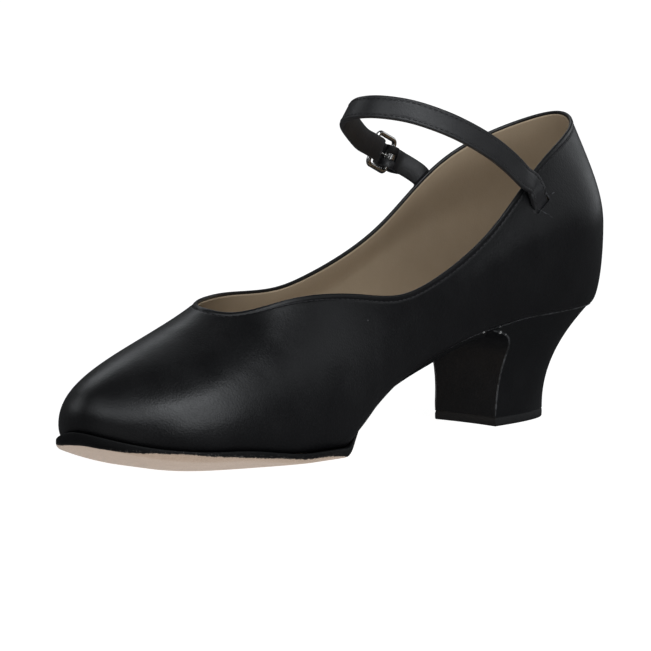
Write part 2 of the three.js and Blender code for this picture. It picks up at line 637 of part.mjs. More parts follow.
// Heel's plan outline on the floor, as rows across it like the seat's.
function heelFloorRows(rows) {
  return Array.from({ length: rows + 1 }, (_, i) => {
    const turn = (Math.PI / 2) * (1 - i / (rows + 0.25));
    const x = HEEL_BREAST_X - HEEL_LENGTH * Math.cos(turn) ** (2 / HEEL_SQUARENESS);
    const half = (HEEL_WIDTH / 2) * Math.sin(turn) ** (2 / HEEL_SQUARENESS);
    const point = (_, j) => new THREE.Vector2(x, half * (1 - (2 * j) / ACROSS));
    return Array.from({ length: ACROSS + 1 }, point);
  });
}

// Heel: from the top piece's plan to the seat's, its breast swept forward at the top
function heelGeometry() {
  const floor = heelFloorRows(HEEL_ROWS);
  const outline = (around) => featherLine(around, 0);
  const backX = outline(BACK).x + 0.5;
  const seatXs = Array.from({ length: HEEL_ROWS + 1 }, (_, i) => {
    const share = Math.sin((Math.PI * i) / HEEL_ROWS / 2);
    return HEEL_BREAST_X + (backX - HEEL_BREAST_X) * share;
  });
  const seat = rowsAcross(outline, seatXs);
  const levels = Array.from({ length: HEEL_LEVELS + 1 }, (_, k) => {
    const up = 1 - (1 - k / HEEL_LEVELS) ** 1.5;
    return floor.map((row, i) => row.map((low, j) => {
      const high = seat[i][j];
      const plan = low.clone().lerp(high, up ** (2.6 - (0.7 * i) / HEEL_ROWS));
      const front = (1 - i / HEEL_ROWS) ** 3;
      const sweep = up ** 12;
      plan.x += ((HEEL_FLARE_X - HEEL_BREAST_X) * sweep - BREAST_RAKE * up * (1 - sweep)) * front;
      if (i === 0) plan.x -= BREAST_HOLLOW * (1 - (1 - (2 * j) / ACROSS) ** 2) * (1 - sweep);
      const topX = high.x + (HEEL_FLARE_X - HEEL_BREAST_X) * front;
      const base = TIP_THICKNESS + GAP;
      return new THREE.Vector3(plan.x, plan.y, base + (bottomHeight(topX, high.y) - base) * up);
    }));
  });
  return stackedGrids(levels);
}

// Top piece under the heel
function heelTipGeometry() {
  const rows = heelFloorRows(HEEL_ROWS);
  rows[0].forEach((p, j) => {
    p.x -= BREAST_HOLLOW * (1 - (1 - (2 * j) / ACROSS) ** 2);
  });
  return stackedGrids([raise(rows, () => 0), raise(rows, () => TIP_THICKNESS)]);
}

const leather = new THREE.MeshStandardMaterial({ color: 0x151516, roughness: 0.45 });
const board = new THREE.MeshStandardMaterial({ color: 0xa08968, roughness: 0.8 });
const suede = new THREE.MeshStandardMaterial({ color: 0xc7a27c, roughness: 0.95 });
const rubber = new THREE.MeshStandardMaterial({ color: 0x1a1a1a, roughness: 0.8 });
const metal = new THREE.MeshStandardMaterial({ color: 0xc8c8cc, roughness: 0.25, metalness: 1 });

const shoe = new THREE.Group();

function addPiece(name, geometry, material) {
  const mesh = new THREE.Mesh(geometry, material);
  mesh.name = name;
  shoe.add(mesh);
}

addPiece("upper", upperGeometry(), leather);
addPiece("insole", insoleGeometry(), board);
addPiece("outsole", outsoleGeometry(), suede);
addPiece("heel", heelGeometry(), leather);
addPiece("heel_tip", heelTipGeometry(), rubber);
addPiece("strap", strapGeometry(), leather);
addPiece("buckle_tab", tabGeometry(), leather);
addPiece("buckle_frame", buckleGeometry(), metal);
addPiece("buckle_prong", prongGeometry(), metal);

// The origin is the middle of the shoe's bounding box in plan, on the floor.
const bounds = new THREE.Box3().setFromObject(shoe);
shoe.position.set(-(bounds.min.x + bounds.max.x) / 2, -(bounds.min.y + bounds.max.y) / 2, 0);

export default shoe;
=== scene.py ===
# The looks of a right-foot character shoe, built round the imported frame. Lengths are in millimetres until a
# mesh is made, and the shoe's own axes are those of its solids: x from the back of the counter to the toe,
# y to the inner side, z up from the floor.
import math
import bpy
import numpy as np
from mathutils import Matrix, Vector
from mathutils.kdtree import KDTree


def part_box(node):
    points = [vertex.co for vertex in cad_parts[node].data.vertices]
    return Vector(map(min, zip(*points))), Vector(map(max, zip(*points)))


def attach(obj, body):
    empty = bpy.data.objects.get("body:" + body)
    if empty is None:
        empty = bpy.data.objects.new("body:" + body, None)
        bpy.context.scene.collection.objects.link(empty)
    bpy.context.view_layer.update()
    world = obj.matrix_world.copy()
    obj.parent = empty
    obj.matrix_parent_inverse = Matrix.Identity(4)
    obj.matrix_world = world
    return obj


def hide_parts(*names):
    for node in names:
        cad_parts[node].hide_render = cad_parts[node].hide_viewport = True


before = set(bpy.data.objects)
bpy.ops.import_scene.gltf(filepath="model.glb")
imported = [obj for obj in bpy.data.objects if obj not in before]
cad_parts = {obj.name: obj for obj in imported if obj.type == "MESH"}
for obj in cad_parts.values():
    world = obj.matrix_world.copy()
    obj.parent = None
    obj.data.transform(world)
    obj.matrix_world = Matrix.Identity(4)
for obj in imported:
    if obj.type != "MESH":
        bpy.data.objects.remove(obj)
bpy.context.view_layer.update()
MM = 0.001

# Driving dimensions of the solids
LENGTH = 249.0
BALL_WIDTH = 80.0
SEAT_HEIGHT = 38.2
QUARTER_HEIGHT = 64.0
COLLAR_HEIGHT = SEAT_HEIGHT + QUARTER_HEIGHT
WALL = 1.6
GAP = 0.3
SOLE_THICKNESS = 3.2
WAIST_THICKNESS = 2.2
TREAD_X = 0.62 * LENGTH
SPRING_X = 0.7 * LENGTH
TOE_SPRING = 14.0
SPRING_POWER = 3.3
TREAD_FLAT = 6.0
TREAD_CROWN = 3.4
TOE_CROWN = 7.5
ARCH_LIFT = 8.0
INSOLE_THICKNESS = 2.2
INSOLE_CLEARANCE = 0.7
HEEL_BREAST_X = 56.0
HEEL_LENGTH = 34.5
HEEL_WIDTH = 27.2
HEEL_SQUARENESS = 2.5
HEEL_FLARE_X = 68.5
BREAST_RAKE = 2.6
BREAST_HOLLOW = 0.8
TIP_THICKNESS = 3.0
STRAP_WIDTH = 8.0
STRAP_THICKNESS = 1.8
STRAP_ROOM = 0.6
ANKLE_X = 0.233 * LENGTH
ANKLE_LENGTH = 0.199 * LENGTH
ANKLE_WIDTH = 0.34 * BALL_WIDTH
WIRE_RADIUS = 0.85
BUCKLE_LENGTH = 11.0
BUCKLE_WIDTH = 11.4
BUCKLE_CORNER = 1.7
PRONG_RADIUS = 0.6
PIVOT_CLEARANCE = 0.35
LOOP_RADIUS = 2.25
PRONG_LOOP_RADIUS = 1.95
PRONG_LOOP_WIDTH = 1.7
TAB_THICKNESS = 1.6
TAB_WIDTH = 7.4
HINGE_TURN = -86.0
HINGE_RISE = 0.868

# Sizes of what only shows
LEATHER = 1.0  # the outer leather in the wall
LINING_DROP = 0.9  # lining's top edge below the topline
BEAD_DEPTH = 1.7  # folded edge of the topline, down to its stitches
BEAD_RISE = 0.2
STITCH_DROP = 2.0  # stitches below the topline
SLIT_CLEARANCE = 0.25
STRAP_STITCH_INSET = 1.15  # from the strap's edges
CORD_RADIUS = 0.26  # folded edge of leather along the seat seam and the breast, painted light grey as its highlight
UPPER_COLUMNS = 420
SOLE_SHARPNESS = 1.7  # gathers the sole's rows at the toe

# The solids' tables. Rise of the long profile at shares of LENGTH, as shares of the seat's rise.
CLIMB_X = [0.0, 0.185, 0.27, 0.39, 0.465, 0.53, 0.575, TREAD_X / LENGTH, 1.0]
CLIMB_RISE = [1.0, 0.985, 0.9, 0.63, 0.45, 0.26, 0.11, 0.0, 0.0]

# Widest line: x, y, swell, tuck and edge, round the shoe from the toe by the inner side.
OUTLINE = [
    (1.000, 0.037, 0.078, 0.030, 0.041),
    (0.960, 0.269, 0.086, 0.030, 0.040),
    (0.876, 0.425, 0.125, 0.031, 0.039),
    (0.731, 0.487, 0.172, 0.035, 0.040),
    (0.627, 0.456, 0.219, 0.050, 0.045),
    (0.530, 0.394, 0.234, 0.100, -0.007),
    (0.418, 0.350, 0.281, 0.113, -0.007),
    (0.281, 0.350, 0.344, 0.087, -0.007),
    (0.133, 0.356, 0.406, 0.060, -0.007),
    (0.026, 0.237, 0.422, 0.057, -0.007),
    (0.000, 0.000, 0.422, 0.050, -0.007),
    (0.026, -0.231, 0.422, 0.057, -0.007),
    (0.133, -0.356, 0.406, 0.060, -0.007),
    (0.281, -0.369, 0.312, 0.075, -0.007),
    (0.418, -0.412, 0.250, 0.069, -0.007),
    (0.538, -0.475, 0.188, 0.056, 0.025),
    (0.635, -0.512, 0.156, 0.040, 0.040),
    (0.747, -0.494, 0.141, 0.035, 0.040),
    (0.859, -0.412, 0.109, 0.031, 0.040),
    (0.950, -0.237, 0.086, 0.030, 0.040),
]
BACK_ROW = 10

# Topline: x, y, rise, lean, low and high, in the same order.
TOPLINE = [
    (0.761, 0.044, 0.5147, 27, 0.23, 0.42),
    (0.753, 0.144, 0.5068, 30, 0.24, 0.40),
    (0.725, 0.231, 0.5205, 40, 0.30, 0.36),
    (0.655, 0.306, 0.5479, 54, 0.36, 0.36),
    (0.574, 0.338, 0.5372, 66, 0.36, 0.36),
    (0.498, 0.350, 0.5137, 76, 0.35, 0.35),
    (0.414, 0.338, 0.5440, 82, 0.35, 0.35),
    (0.289, 0.315, 0.6771, 82, 0.35, 0.35),
    (0.165, 0.269, 0.8806, 76, 0.35, 0.35),
    (0.060, 0.148, 0.9746, 68, 0.38, 0.32),
    (0.030, 0.000, 1.0029, 66, 0.40, 0.30),
    (0.060, -0.144, 0.9716, 68, 0.38, 0.32),
    (0.165, -0.269, 0.8659, 76, 0.35, 0.35),
    (0.289, -0.325, 0.6507, 80, 0.35, 0.35),
    (0.414, -0.356, 0.5235, 76, 0.35, 0.35),
    (0.498, -0.362, 0.4892, 68, 0.35, 0.35),
    (0.574, -0.338, 0.4990, 58, 0.36, 0.36),
    (0.643, -0.275, 0.5068, 48, 0.36, 0.36),
    (0.701, -0.175, 0.5108, 36, 0.30, 0.38),
    (0.741, -0.062, 0.5147, 29, 0.27, 0.42),
]

# Strap's middle line round the ankle: turn, rise and tilt.
STRAP_LINE = [
    (91, 0.845, 10),
    (83, 0.897, 10),
    (73, 0.953, 12),
    (61, 1.006, 15),
    (48, 1.050, 18),
    (31, 1.087, 23),
    (12, 1.100, 28),
    (-5, 1.092, 31),
    (-21, 1.071, 31),
    (-36, 1.040, 28),
    (-50, 0.998, 22),
    (-62, 0.950, 15),
]

# Strap and tab on the quarters: around, up and out. They thin inside the wall, between leather and lining.
STRAP_ROOT = [
    (0.3962, 1.44, -0.62),
    (0.3956, 1.54, -0.6),
    (0.3950, 1.64, -0.2),
    (0.3944, 1.76, 0.75),
    (0.3940, 1.90, 0.85),
]
TAB_ROOT = [
    (0.602, 1.44, -0.62),
    (0.602, 1.54, -0.6),
    (0.602, 1.64, -0.2),
    (0.602, 1.76, 0.75),
    (0.602, 1.92, 0.95),
]

# Strap's end through the buckle, and the tab's end at its bar: along and out, in shares of BUCKLE_LENGTH.
STRAP_TAIL = [
    (1.55, -0.21),
    (1.23, -0.205),
    (1.00, -0.19),
    (0.77, -0.10),
    (0.50, 0.08),
    (0.24, 0.262),
    (0.00, 0.323),
    (-0.36, 0.318),
    (-0.91, 0.282),
    (-1.45, 0.236),
]
TAB_END = [
    (-0.45, -0.082),
    (-0.09, -0.082),
]

# Where the black ink of the sole's edge ends: share of the way round from the toe, the same on both sides,
# and the rise above the edge's foot, or, below zero, the way in from the edge over the underside.
INK_LINE = [
    (0.000, -3.0),
    (0.011, -2.6),
    (0.018, -1.6),
    (0.025, -0.9),
    (0.031, -0.1),
    (0.037, 0.6),
    (0.044, 1.4),
    (0.058, 2.1),
    (0.066, 2.1),
    (0.074, 1.7),
    (0.100, 0.8),
    (0.118, 0.8),
    (0.130, 1.2),
    (0.171, 1.2),
    (0.190, 0.2),
    (0.205, -2.0),
    (0.500, -2.0),
]

SEAM_FRONT = 104.0  # where the seat seam's light grey cord, a painted highlight, starts along the waist
GLUE_ON_SEAM = [(70.8, 1.0), (64.0, 0.8)]  # x and size
GLUE_ON_BREAST = [(0.92, 1.2), (0.86, 0.7)]  # share of the way up and size

# Marks on the upper: ways round and up.
BAR_TACK = ((0.4055, 1.605), (0.4108, 1.60))
STRAP_UNDER = ((0.3899, 1.584), (0.3986, 1.309))
DUST = (0.2082, 1.759)

# Soft folds where the foot flexes: from x, y to x, y on plan, half width, and depth, or rise below zero.
FOLDS = [
    (172, 42, 190, 24, 4.6, 0.11),
    (181, 42, 198, 23, 3.8, -0.06),
    (189, 41, 206, 21, 4.2, 0.07),
    (200, 38, 212, 24, 2.6, 0.05),
    (208, 36, 219, 25, 2.4, 0.05),
    (194, 8, 197, -18, 4.4, 0.08),
    (202, 10, 205, -14, 3.6, -0.04),
    (170, -43, 185, -27, 3.4, 0.15),
    (178, -43, 192, -25, 3.0, -0.10),
    (186, -42, 199, -24, 3.0, 0.12),
    (128, 34, 136, 30, 5.0, 0.12),
    (122, -36, 131, -32, 5.0, 0.12),
]

# The shoe's own zero in the frame, from the top piece's flat front and sides.
tip_low, tip_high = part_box("heel_tip")
ORIGIN = np.array([tip_high[0] / MM - HEEL_BREAST_X, (tip_low[1] + tip_high[1]) / 2 / MM, 0.0])


# Curves

def smooth_step(u):
    t = np.clip(u, 0, 1)
    return t * t * (3 - 2 * t)


def climb(share):
    """A monotone cubic through the long profile's rows."""
    xs, ys = np.array(CLIMB_X), np.array(CLIMB_RISE)
    slope = np.diff(ys) / np.diff(xs)
    tangent = np.zeros(len(xs))
    product = slope[:-1] * slope[1:]
    level = product <= 0
    total = np.where(level, 1.0, slope[:-1] + slope[1:])
    tangent[1:-1] = np.where(level, 0.0, 2 * product / total)
    i = np.clip(np.searchsorted(xs, share) - 1, 0, len(xs) - 2)
    h = xs[i + 1] - xs[i]
    t = np.clip((share - xs[i]) / h, 0, 1)
    start = (1 + 2 * t) * (1 - t) ** 2 * ys[i] + t * (1 - t) ** 2 * h * tangent[i]
    end = t * t * (3 - 2 * t) * ys[i + 1] + t * t * (t - 1) * h * tangent[i + 1]
    return start + end


def bottom_height(x, y):
    """Height of the outsole's top face."""
    half = BALL_WIDTH / 2
    heel = (SEAT_HEIGHT - SOLE_THICKNESS) * climb(x / LENGTH)
    ahead = np.maximum(0, (x - SPRING_X) / (LENGTH - SPRING_X))
    toe = TOE_SPRING * ahead ** SPRING_POWER
    forward = smooth_step((x - HEEL_FLARE_X) / (SPRING_X - HEEL_FLARE_X))
    rise = TREAD_CROWN * forward + (TOE_CROWN - TREAD_CROWN) * smooth_step(2 * ahead)
    side = np.maximum(0, np.abs(y) - TREAD_FLAT) / (half - TREAD_FLAT)
    waist = np.clip((x - HEEL_BREAST_X) / (TREAD_X - HEEL_BREAST_X), 0, 1)
    lift = ARCH_LIFT * np.sin(np.pi * waist) ** 2 * (np.maximum(0, y) / half) ** 2
    return SOLE_THICKNESS + heel + toe + rise * side ** 2 + lift


def closed_curve(knots, values):
    """A closed C2 cubic through values at knots from 0 to 1."""
    n = len(knots)
    step = np.diff(np.append(knots, knots[0] + 1))
    last = np.roll(step, 1)
    matrix = np.zeros((n, n))
    for i in range(n):
        matrix[i, i - 1] = last[i]
        matrix[i, i] = 2 * (last[i] + step[i])
        matrix[i, (i + 1) % n] = step[i]
    rise = (np.roll(values, -1) - values) / step
    bend = np.linalg.solve(matrix, 6 * (rise - np.roll(rise, 1)))

    def curve(at):
        t = np.mod(at, 1.0)
        i = np.searchsorted(knots, t, side="right") - 1
        j = (i + 1) % n
        h = step[i]
        b = (t - knots[i]) / h
        a = 1 - b
        return a * values[i] + b * values[j] + ((a ** 3 - a) * bend[i] + (b ** 3 - b) * bend[j]) * h * h / 6

    return curve


outline = np.array(OUTLINE, float)
stations = outline[:, :2] * [LENGTH, BALL_WIDTH]
runs = np.linalg.norm(np.roll(stations, -1, axis=0) - stations, axis=1)
knots = np.concatenate([[0], np.cumsum(runs)[:-1]]) / runs.sum()
BACK = knots[BACK_ROW]
wide_x, wide_y, swell, tuck, edge = [closed_curve(knots, column) for column in outline.T]
top_x, top_y, top_rise, top_lean, top_low, top_high = [
    closed_curve(knots, column) for column in np.array(TOPLINE, float).T
]


def unit(v):
    return v / np.maximum(np.linalg.norm(v, axis=-1, keepdims=True), 1e-12)


def widest_line(around):
    return np.stack([wide_x(around) * LENGTH, wide_y(around) * BALL_WIDTH], -1)


def inward(around, step=0.002):
    along = unit(widest_line(around + step) - widest_line(around - step))
    return np.stack([-along[..., 1], along[..., 0]], -1)


def feather_line(around, out=0.0):
    """Where the upper turns under the foot, or a distance out from there."""
    return widest_line(around) + inward(around) * (tuck(around) * BALL_WIDTH - out)[..., None]


def sole_edge(around):
    return feather_line(around, edge(around) * BALL_WIDTH)


def upper_point(around, up):
    """The upper's outer face: up is 0 at the feather line, 1 at the widest line and 2 at the topline."""
    around, up = np.broadcast_arrays(np.asarray(around, float), np.asarray(up, float))
    widest = widest_line(around)
    feather = feather_line(around)
    feather_z = bottom_height(feather[..., 0], feather[..., 1]) + GAP
    widest_z = feather_z + swell(around) * QUARTER_HEIGHT
    turn = np.clip(up, 0, 1) * np.pi / 2
    plan = feather + (widest - feather) * np.sin(turn)[..., None]
    under = np.concatenate([plan, (feather_z + (widest_z - feather_z) * (1 - np.cos(turn)))[..., None]], -1)
    top = np.stack([top_x(around) * LENGTH, top_y(around) * BALL_WIDTH], -1)
    start = np.concatenate([widest, widest_z[..., None]], -1)
    end = np.concatenate([top, (top_rise(around) * COLLAR_HEIGHT)[..., None]], -1)
    chord = np.linalg.norm(end - start, axis=-1, keepdims=True)
    lean = np.radians(top_lean(around))[..., None]
    way = np.concatenate([unit(top - widest) * np.cos(lean), np.sin(lean)], -1)
    first = start + np.array([0, 0, 1.0]) * top_low(around)[..., None] * chord
    second = end - way * top_high(around)[..., None] * chord
    t = np.clip(up - 1, 0, 1)[..., None]
    s = 1 - t
    over = s ** 3 * start + 3 * s * s * t * first + 3 * s * t * t * second + t ** 3 * end
    return np.where((up <= 1)[..., None], under, over)


def upper_normal(around, up, step=1e-3):
    across = upper_point(around + step, up) - upper_point(around - step, up)
    upward = upper_point(around, np.minimum(2, up + step)) - upper_point(around, np.maximum(0, up - step))
    return unit(np.cross(across, upward))


def rounded_path(points, at):
    """A centripetal Catmull-Rom curve through points, at shares from 0 to 1 of their count."""
    points = np.asarray(points, float)
    n = len(points)
    place = np.clip(np.asarray(at, float), 0, 1) * (n - 1)
    i = np.minimum(place.astype(int), n - 2)
    w = (place - i)[:, None]
    padded = np.vstack([2 * points[0] - points[1], points, 2 * points[-1] - points[-2]])
    p0, p1, p2, p3 = padded[i], padded[i + 1], padded[i + 2], padded[i + 3]
    d1 = np.linalg.norm(p2 - p1, axis=1, keepdims=True) ** 0.5
    d1 = np.where(d1 < 1e-4, 1.0, d1)
    d0 = np.linalg.norm(p1 - p0, axis=1, keepdims=True) ** 0.5
    d0 = np.where(d0 < 1e-4, d1, d0)
    d2 = np.linalg.norm(p3 - p2, axis=1, keepdims=True) ** 0.5
    d2 = np.where(d2 < 1e-4, d1, d2)
    t1 = ((p1 - p0) / d0 - (p2 - p0) / (d0 + d1) + (p2 - p1) / d1) * d1
    t2 = ((p2 - p1) / d1 - (p3 - p1) / (d1 + d2) + (p3 - p2) / d2) * d1
    return p1 + t1 * w + (3 * (p2 - p1) - 2 * t1 - t2) * w ** 2 + (2 * (p1 - p2) + t1 + t2) * w ** 3


# Meshes

def quads(rows, size, open_rows=False, open_size=False):
    """Faces of a grid of rows of points, wrapped where it isn't open."""
    r = np.arange(rows - 1 if open_rows else rows)
    c = np.arange(size - 1 if open_size else size)
    r, c = np.meshgrid(r, c, indexing="ij")
    nr, nc = (r + 1) % rows, (c + 1) % size
    return np.stack([r * size + c, r * size + nc, nr * size + nc, nr * size + c], -1).reshape(-1, 4).tolist()


def add_mesh(name, points, faces, material=None, sharp=40):
    """An object from points in the shoe's axes, shaded smooth but for edges over the sharp angle."""
    mesh = bpy.data.meshes.new(name)
    mesh.from_pydata(((np.asarray(points) + ORIGIN) * MM).tolist(), [], faces)
    mesh.update()
    mesh.polygons.foreach_set("use_smooth", [True] * len(mesh.polygons))
    mesh.set_sharp_from_angle(angle=math.radians(sharp))
    obj = bpy.data.objects.new(name, mesh)
    bpy.context.scene.collection.objects.link(obj)
    if material:
        mesh.materials.append(material)
    return obj


def wrapped(name, rings, material=None, sharp=40):
    """Rings that wrap both ways."""
    return add_mesh(name, rings.reshape(-1, 3), quads(*rings.shape[:2]), material, sharp)


def capped(name, rings, material=None, sharp=40):
    """Rings in a run, closed at both ends."""
    rows, size = rings.shape[:2]
    faces = quads(rows, size, open_rows=True)
    faces.append(list(range(size))[::-1])
    faces.append([(rows - 1) * size + i for i in range(size)])
    return add_mesh(name, rings.reshape(-1, 3), faces, material, sharp)


def stacked(name, levels, material=None, sharp=40):
    """Grids of points, lowest first, closed by walls between their rims."""
    levels = np.array(levels)
    count, rows, across = levels.shape[:3]
    rim = [(0, j) for j in range(across)]
    rim += [(i, across - 1) for i in range(1, rows)]
    rim += [(rows - 1, j) for j in range(across - 2, -1, -1)]
    rim += [(i, 0) for i in range(rows - 2, 0, -1)]
    size = rows * across
    lid = np.array(quads(rows, across, open_rows=True, open_size=True))
    rings = [levels[k][tuple(zip(*rim))] for k in range(1, count - 1)]
    points = [levels[0].reshape(-1, 3), *rings, levels[-1].reshape(-1, 3)]
    flat = [i * across + j for i, j in rim]
    starts = [np.array(flat)]
    starts += [size + k * len(rim) + np.arange(len(rim)) for k in range(count - 2)]
    starts += [size + (count - 2) * len(rim) + np.array(flat)]
    faces = lid.tolist()
    for low, high in zip(starts, starts[1:]):
        faces += np.stack([low, high, np.roll(high, -1), np.roll(low, -1)], -1).tolist()
    faces += (lid[:, ::-1] + size + (count - 2) * len(rim)).tolist()
    return add_mesh(name, np.vstack(points), faces, material, sharp)


def outward(obj):
    """Turns the faces outward where they all point in."""
    mesh = obj.data
    points = np.empty(len(mesh.vertices) * 3)
    mesh.vertices.foreach_get("co", points)
    points = points.reshape(-1, 3)
    mesh.calc_loop_triangles()
    corners = np.empty(len(mesh.loop_triangles) * 3, int)
    mesh.loop_triangles.foreach_get("vertices", corners)
    a, b, c = points[corners].reshape(-1, 3, 3).transpose(1, 0, 2)
    if np.einsum("ij,ij->i", a, np.cross(b, c)).sum() < 0:
        mesh.flip_normals()
    return obj


def boolean(obj, operation, other):
    """Joins or cuts obj with other, and removes other."""
    outward(obj)
    outward(other)
    modifier = obj.modifiers.new("join", "BOOLEAN")
    modifier.operation = operation
    modifier.object = other
    modifier.solver = "EXACT"
    settle(obj)
    bpy.data.objects.remove(other)
    return obj


def settle(obj):
    """Applies the modifiers."""
    view = bpy.context.evaluated_depsgraph_get()
    view.update()
    mesh = bpy.data.meshes.new_from_object(obj.evaluated_get(view))
    old = obj.data
    obj.modifiers.clear()
    obj.data = mesh
    mesh.name = old.name
    bpy.data.meshes.remove(old)
    return obj


def soften(obj, width, angle=30, segments=3):
    """Rounds the sharp edges."""
    bevel = obj.modifiers.new("soften", "BEVEL")
    bevel.width = width * MM
    bevel.segments = segments
    bevel.limit_method = "ANGLE"
    bevel.angle_limit = math.radians(angle)
    bevel.harden_normals = True
    return settle(obj)


def piece(obj, slot, *nodes):
    """Turns a piece's faces outward, hangs it on the root body and hides the imported solids it stands for."""
    outward(obj)
    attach(obj, "root")
    if nodes:
        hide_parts(*nodes)
    return obj


# Stitches

def stitch_points(length, radius, sides=8, rings=7):
    """One stitch along its first axis, as rings of points and their faces."""
    along = -np.cos(np.linspace(0, np.pi, rings + 2))[1:-1]
    turn = np.linspace(0, 2 * np.pi, sides, endpoint=False)
    size = radius * (1 - np.abs(along) ** 2.6) ** 0.5
    grid = np.stack([
        np.repeat(along[:, None] * length / 2, sides, 1),
        size[:, None] * np.cos(turn),
        size[:, None] * np.sin(turn),
    ], -1)
    faces = quads(rings, sides, open_rows=True)
    faces.append(list(range(sides))[::-1])
    faces.append([(rings - 1) * sides + i for i in range(sides)])
    return grid.reshape(-1, 3), faces


def stitches(name, path, normals, material, pitch=2.6, length=2.0, radius=0.2, closed=False, sink=0.0):
    """A row of stitches, evenly along a path."""
    path, normals = np.asarray(path), np.asarray(normals)
    if closed:
        path, normals = np.vstack([path, path[:1]]), np.vstack([normals, normals[:1]])
    run = np.concatenate([[0], np.cumsum(np.linalg.norm(np.diff(path, axis=0), axis=1))])
    count = int(run[-1] / pitch)
    ends = (np.arange(count) + 0.5) * run[-1] / count
    one, one_faces = stitch_points(length, radius)
    points, faces = [], []
    for at in ends:
        half = length / 2
        a, m, b = [np.array([np.interp(at + d, run, path[:, k]) for k in range(3)]) for d in (-half, 0, half)]
        n = np.array([np.interp(at, run, normals[:, k]) for k in range(3)])
        along = unit(b - a)
        n = unit(n - along * (n @ along))
        side = np.cross(n, along)
        start = len(points) * len(one)
        points.append(m - n * sink + one[:, :1] * along + one[:, 1:2] * side + one[:, 2:] * n)
        faces += [[start + i for i in face] for face in one_faces]
    return add_mesh(name, np.vstack(points), faces, material, sharp=80)


# Materials

class Nodes:
    """A material's nodes, with object coordinates in metres."""

    def __init__(self, name):
        self.material = bpy.data.materials.new(name)
        self.material.use_nodes = True
        self.tree = self.material.node_tree
        self.shader = self.tree.nodes["Principled BSDF"]
        self.place = self.add("ShaderNodeTexCoord").outputs["Object"]

    def add(self, kind, **values):
        node = self.tree.nodes.new(kind)
        for key, value in values.items():
            setattr(node, key, value)
        return node

    def link(self, out, into):
        self.tree.links.new(out, into)
        return self

    def set(self, **values):
        for key, value in values.items():
            self.shader.inputs[key.replace("_", " ")].default_value = value

    def scaled(self, scale):
        mapping = self.add("ShaderNodeMapping")
        mapping.inputs["Scale"].default_value = scale
        self.link(self.place, mapping.inputs["Vector"])
        return mapping.outputs["Vector"]

    def noise(self, size, detail=3.0, rough=0.55, source=None):
        """Noise whose lumps are about size millimetres across."""
        node = self.add("ShaderNodeTexNoise")
        node.inputs["Scale"].default_value = 1 / (size * MM)
        node.inputs["Detail"].default_value = detail
        node.inputs["Roughness"].default_value = rough
        self.link(source or self.place, node.inputs["Vector"])
        return node.outputs["Fac"]

    def cells(self, size, feature="F1", smooth=0.4):
        node = self.add("ShaderNodeTexVoronoi", feature=feature)
        node.inputs["Scale"].default_value = 1 / (size * MM)
        if feature == "SMOOTH_F1":
            node.inputs["Smoothness"].default_value = smooth
        self.link(self.place, node.inputs["Vector"])
        return node.outputs["Distance"]

    def spread(self, source, low, high, start=0.0, end=1.0):
        """Maps a value from low..high to start..end."""
        node = self.add("ShaderNodeMapRange")
        for key, value in zip(("From Min", "From Max", "To Min", "To Max"), (low, high, start, end)):
            node.inputs[key].default_value = value
        self.link(source, node.inputs["Value"])
        return node.outputs["Result"]

    def math(self, operation, a, b):
        node = self.add("ShaderNodeMath", operation=operation)
        for value, socket in zip((a, b), node.inputs):
            if isinstance(value, (int, float)):
                socket.default_value = value
            else:
                self.link(value, socket)
        return node.outputs["Value"]

    def mix(self, factor, first, second):
        node = self.add("ShaderNodeMix", data_type="RGBA")
        self.link(factor, node.inputs["Factor"])
        for value, socket in ((first, node.inputs[6]), (second, node.inputs[7])):
            if isinstance(value, tuple):
                socket.default_value = (*value, 1)
            else:
                self.link(value, socket)
        return node.outputs[2]

    def bump(self, height, strength, depth, normal=None):
        """Bump whose full height is depth millimetres."""
        node = self.add("ShaderNodeBump")
        node.inputs["Strength"].default_value = strength
        node.inputs["Distance"].default_value = depth * MM
        self.link(height, node.inputs["Height"])
        if normal:
            self.link(normal, node.inputs["Normal"])
        return node.outputs["Normal"]

    def colour(self, source):
        self.link(source, self.shader.inputs["Base Color"])

    def roughness(self, source):
        self.link(source, self.shader.inputs["Roughness"])

    def normal(self, source):
        self.link(source, self.shader.inputs["Normal"])


def leather_material(name, dark, light, rough=(0.34, 0.42), grain=0.5, coat=0.0):
    """Satin leather with a fine grain, in patches a little glossier and duller."""
    m = Nodes(name)
    m.colour(m.mix(m.noise(9, 4), dark, light))
    patches = m.spread(m.noise(14, 3), 0.35, 0.65, *rough)
    m.roughness(m.math("ADD", patches, m.spread(m.noise(0.8, 2), 0.3, 0.7, -0.03, 0.03)))
    grain_cells = m.cells(0.75, "SMOOTH_F1")
    lumps = m.bump(m.noise(7, 3), 0.35, 0.25)
    pebble = m.bump(m.spread(grain_cells, 0.0, 0.7), grain, 0.05, lumps)
    m.normal(m.bump(m.noise(0.3, 2), 0.3, 0.02, pebble))
    m.set(Coat_Weight=coat, Coat_Roughness=0.3, Specular_IOR_Level=0.5)
    return m.material


def lining_material():
    m = Nodes("lining_leather")
    m.colour(m.mix(m.noise(12, 4), (0.40, 0.31, 0.21), (0.47, 0.37, 0.26)))
    m.roughness(m.spread(m.noise(2, 3), 0.3, 0.7, 0.66, 0.78))
    pores = m.bump(m.spread(m.cells(0.9, "F1"), 0.0, 0.5), 0.35, 0.05)
    m.normal(m.bump(m.noise(0.4, 2), 0.3, 0.03, pores))
    m.set(Specular_IOR_Level=0.35)
    return m.material


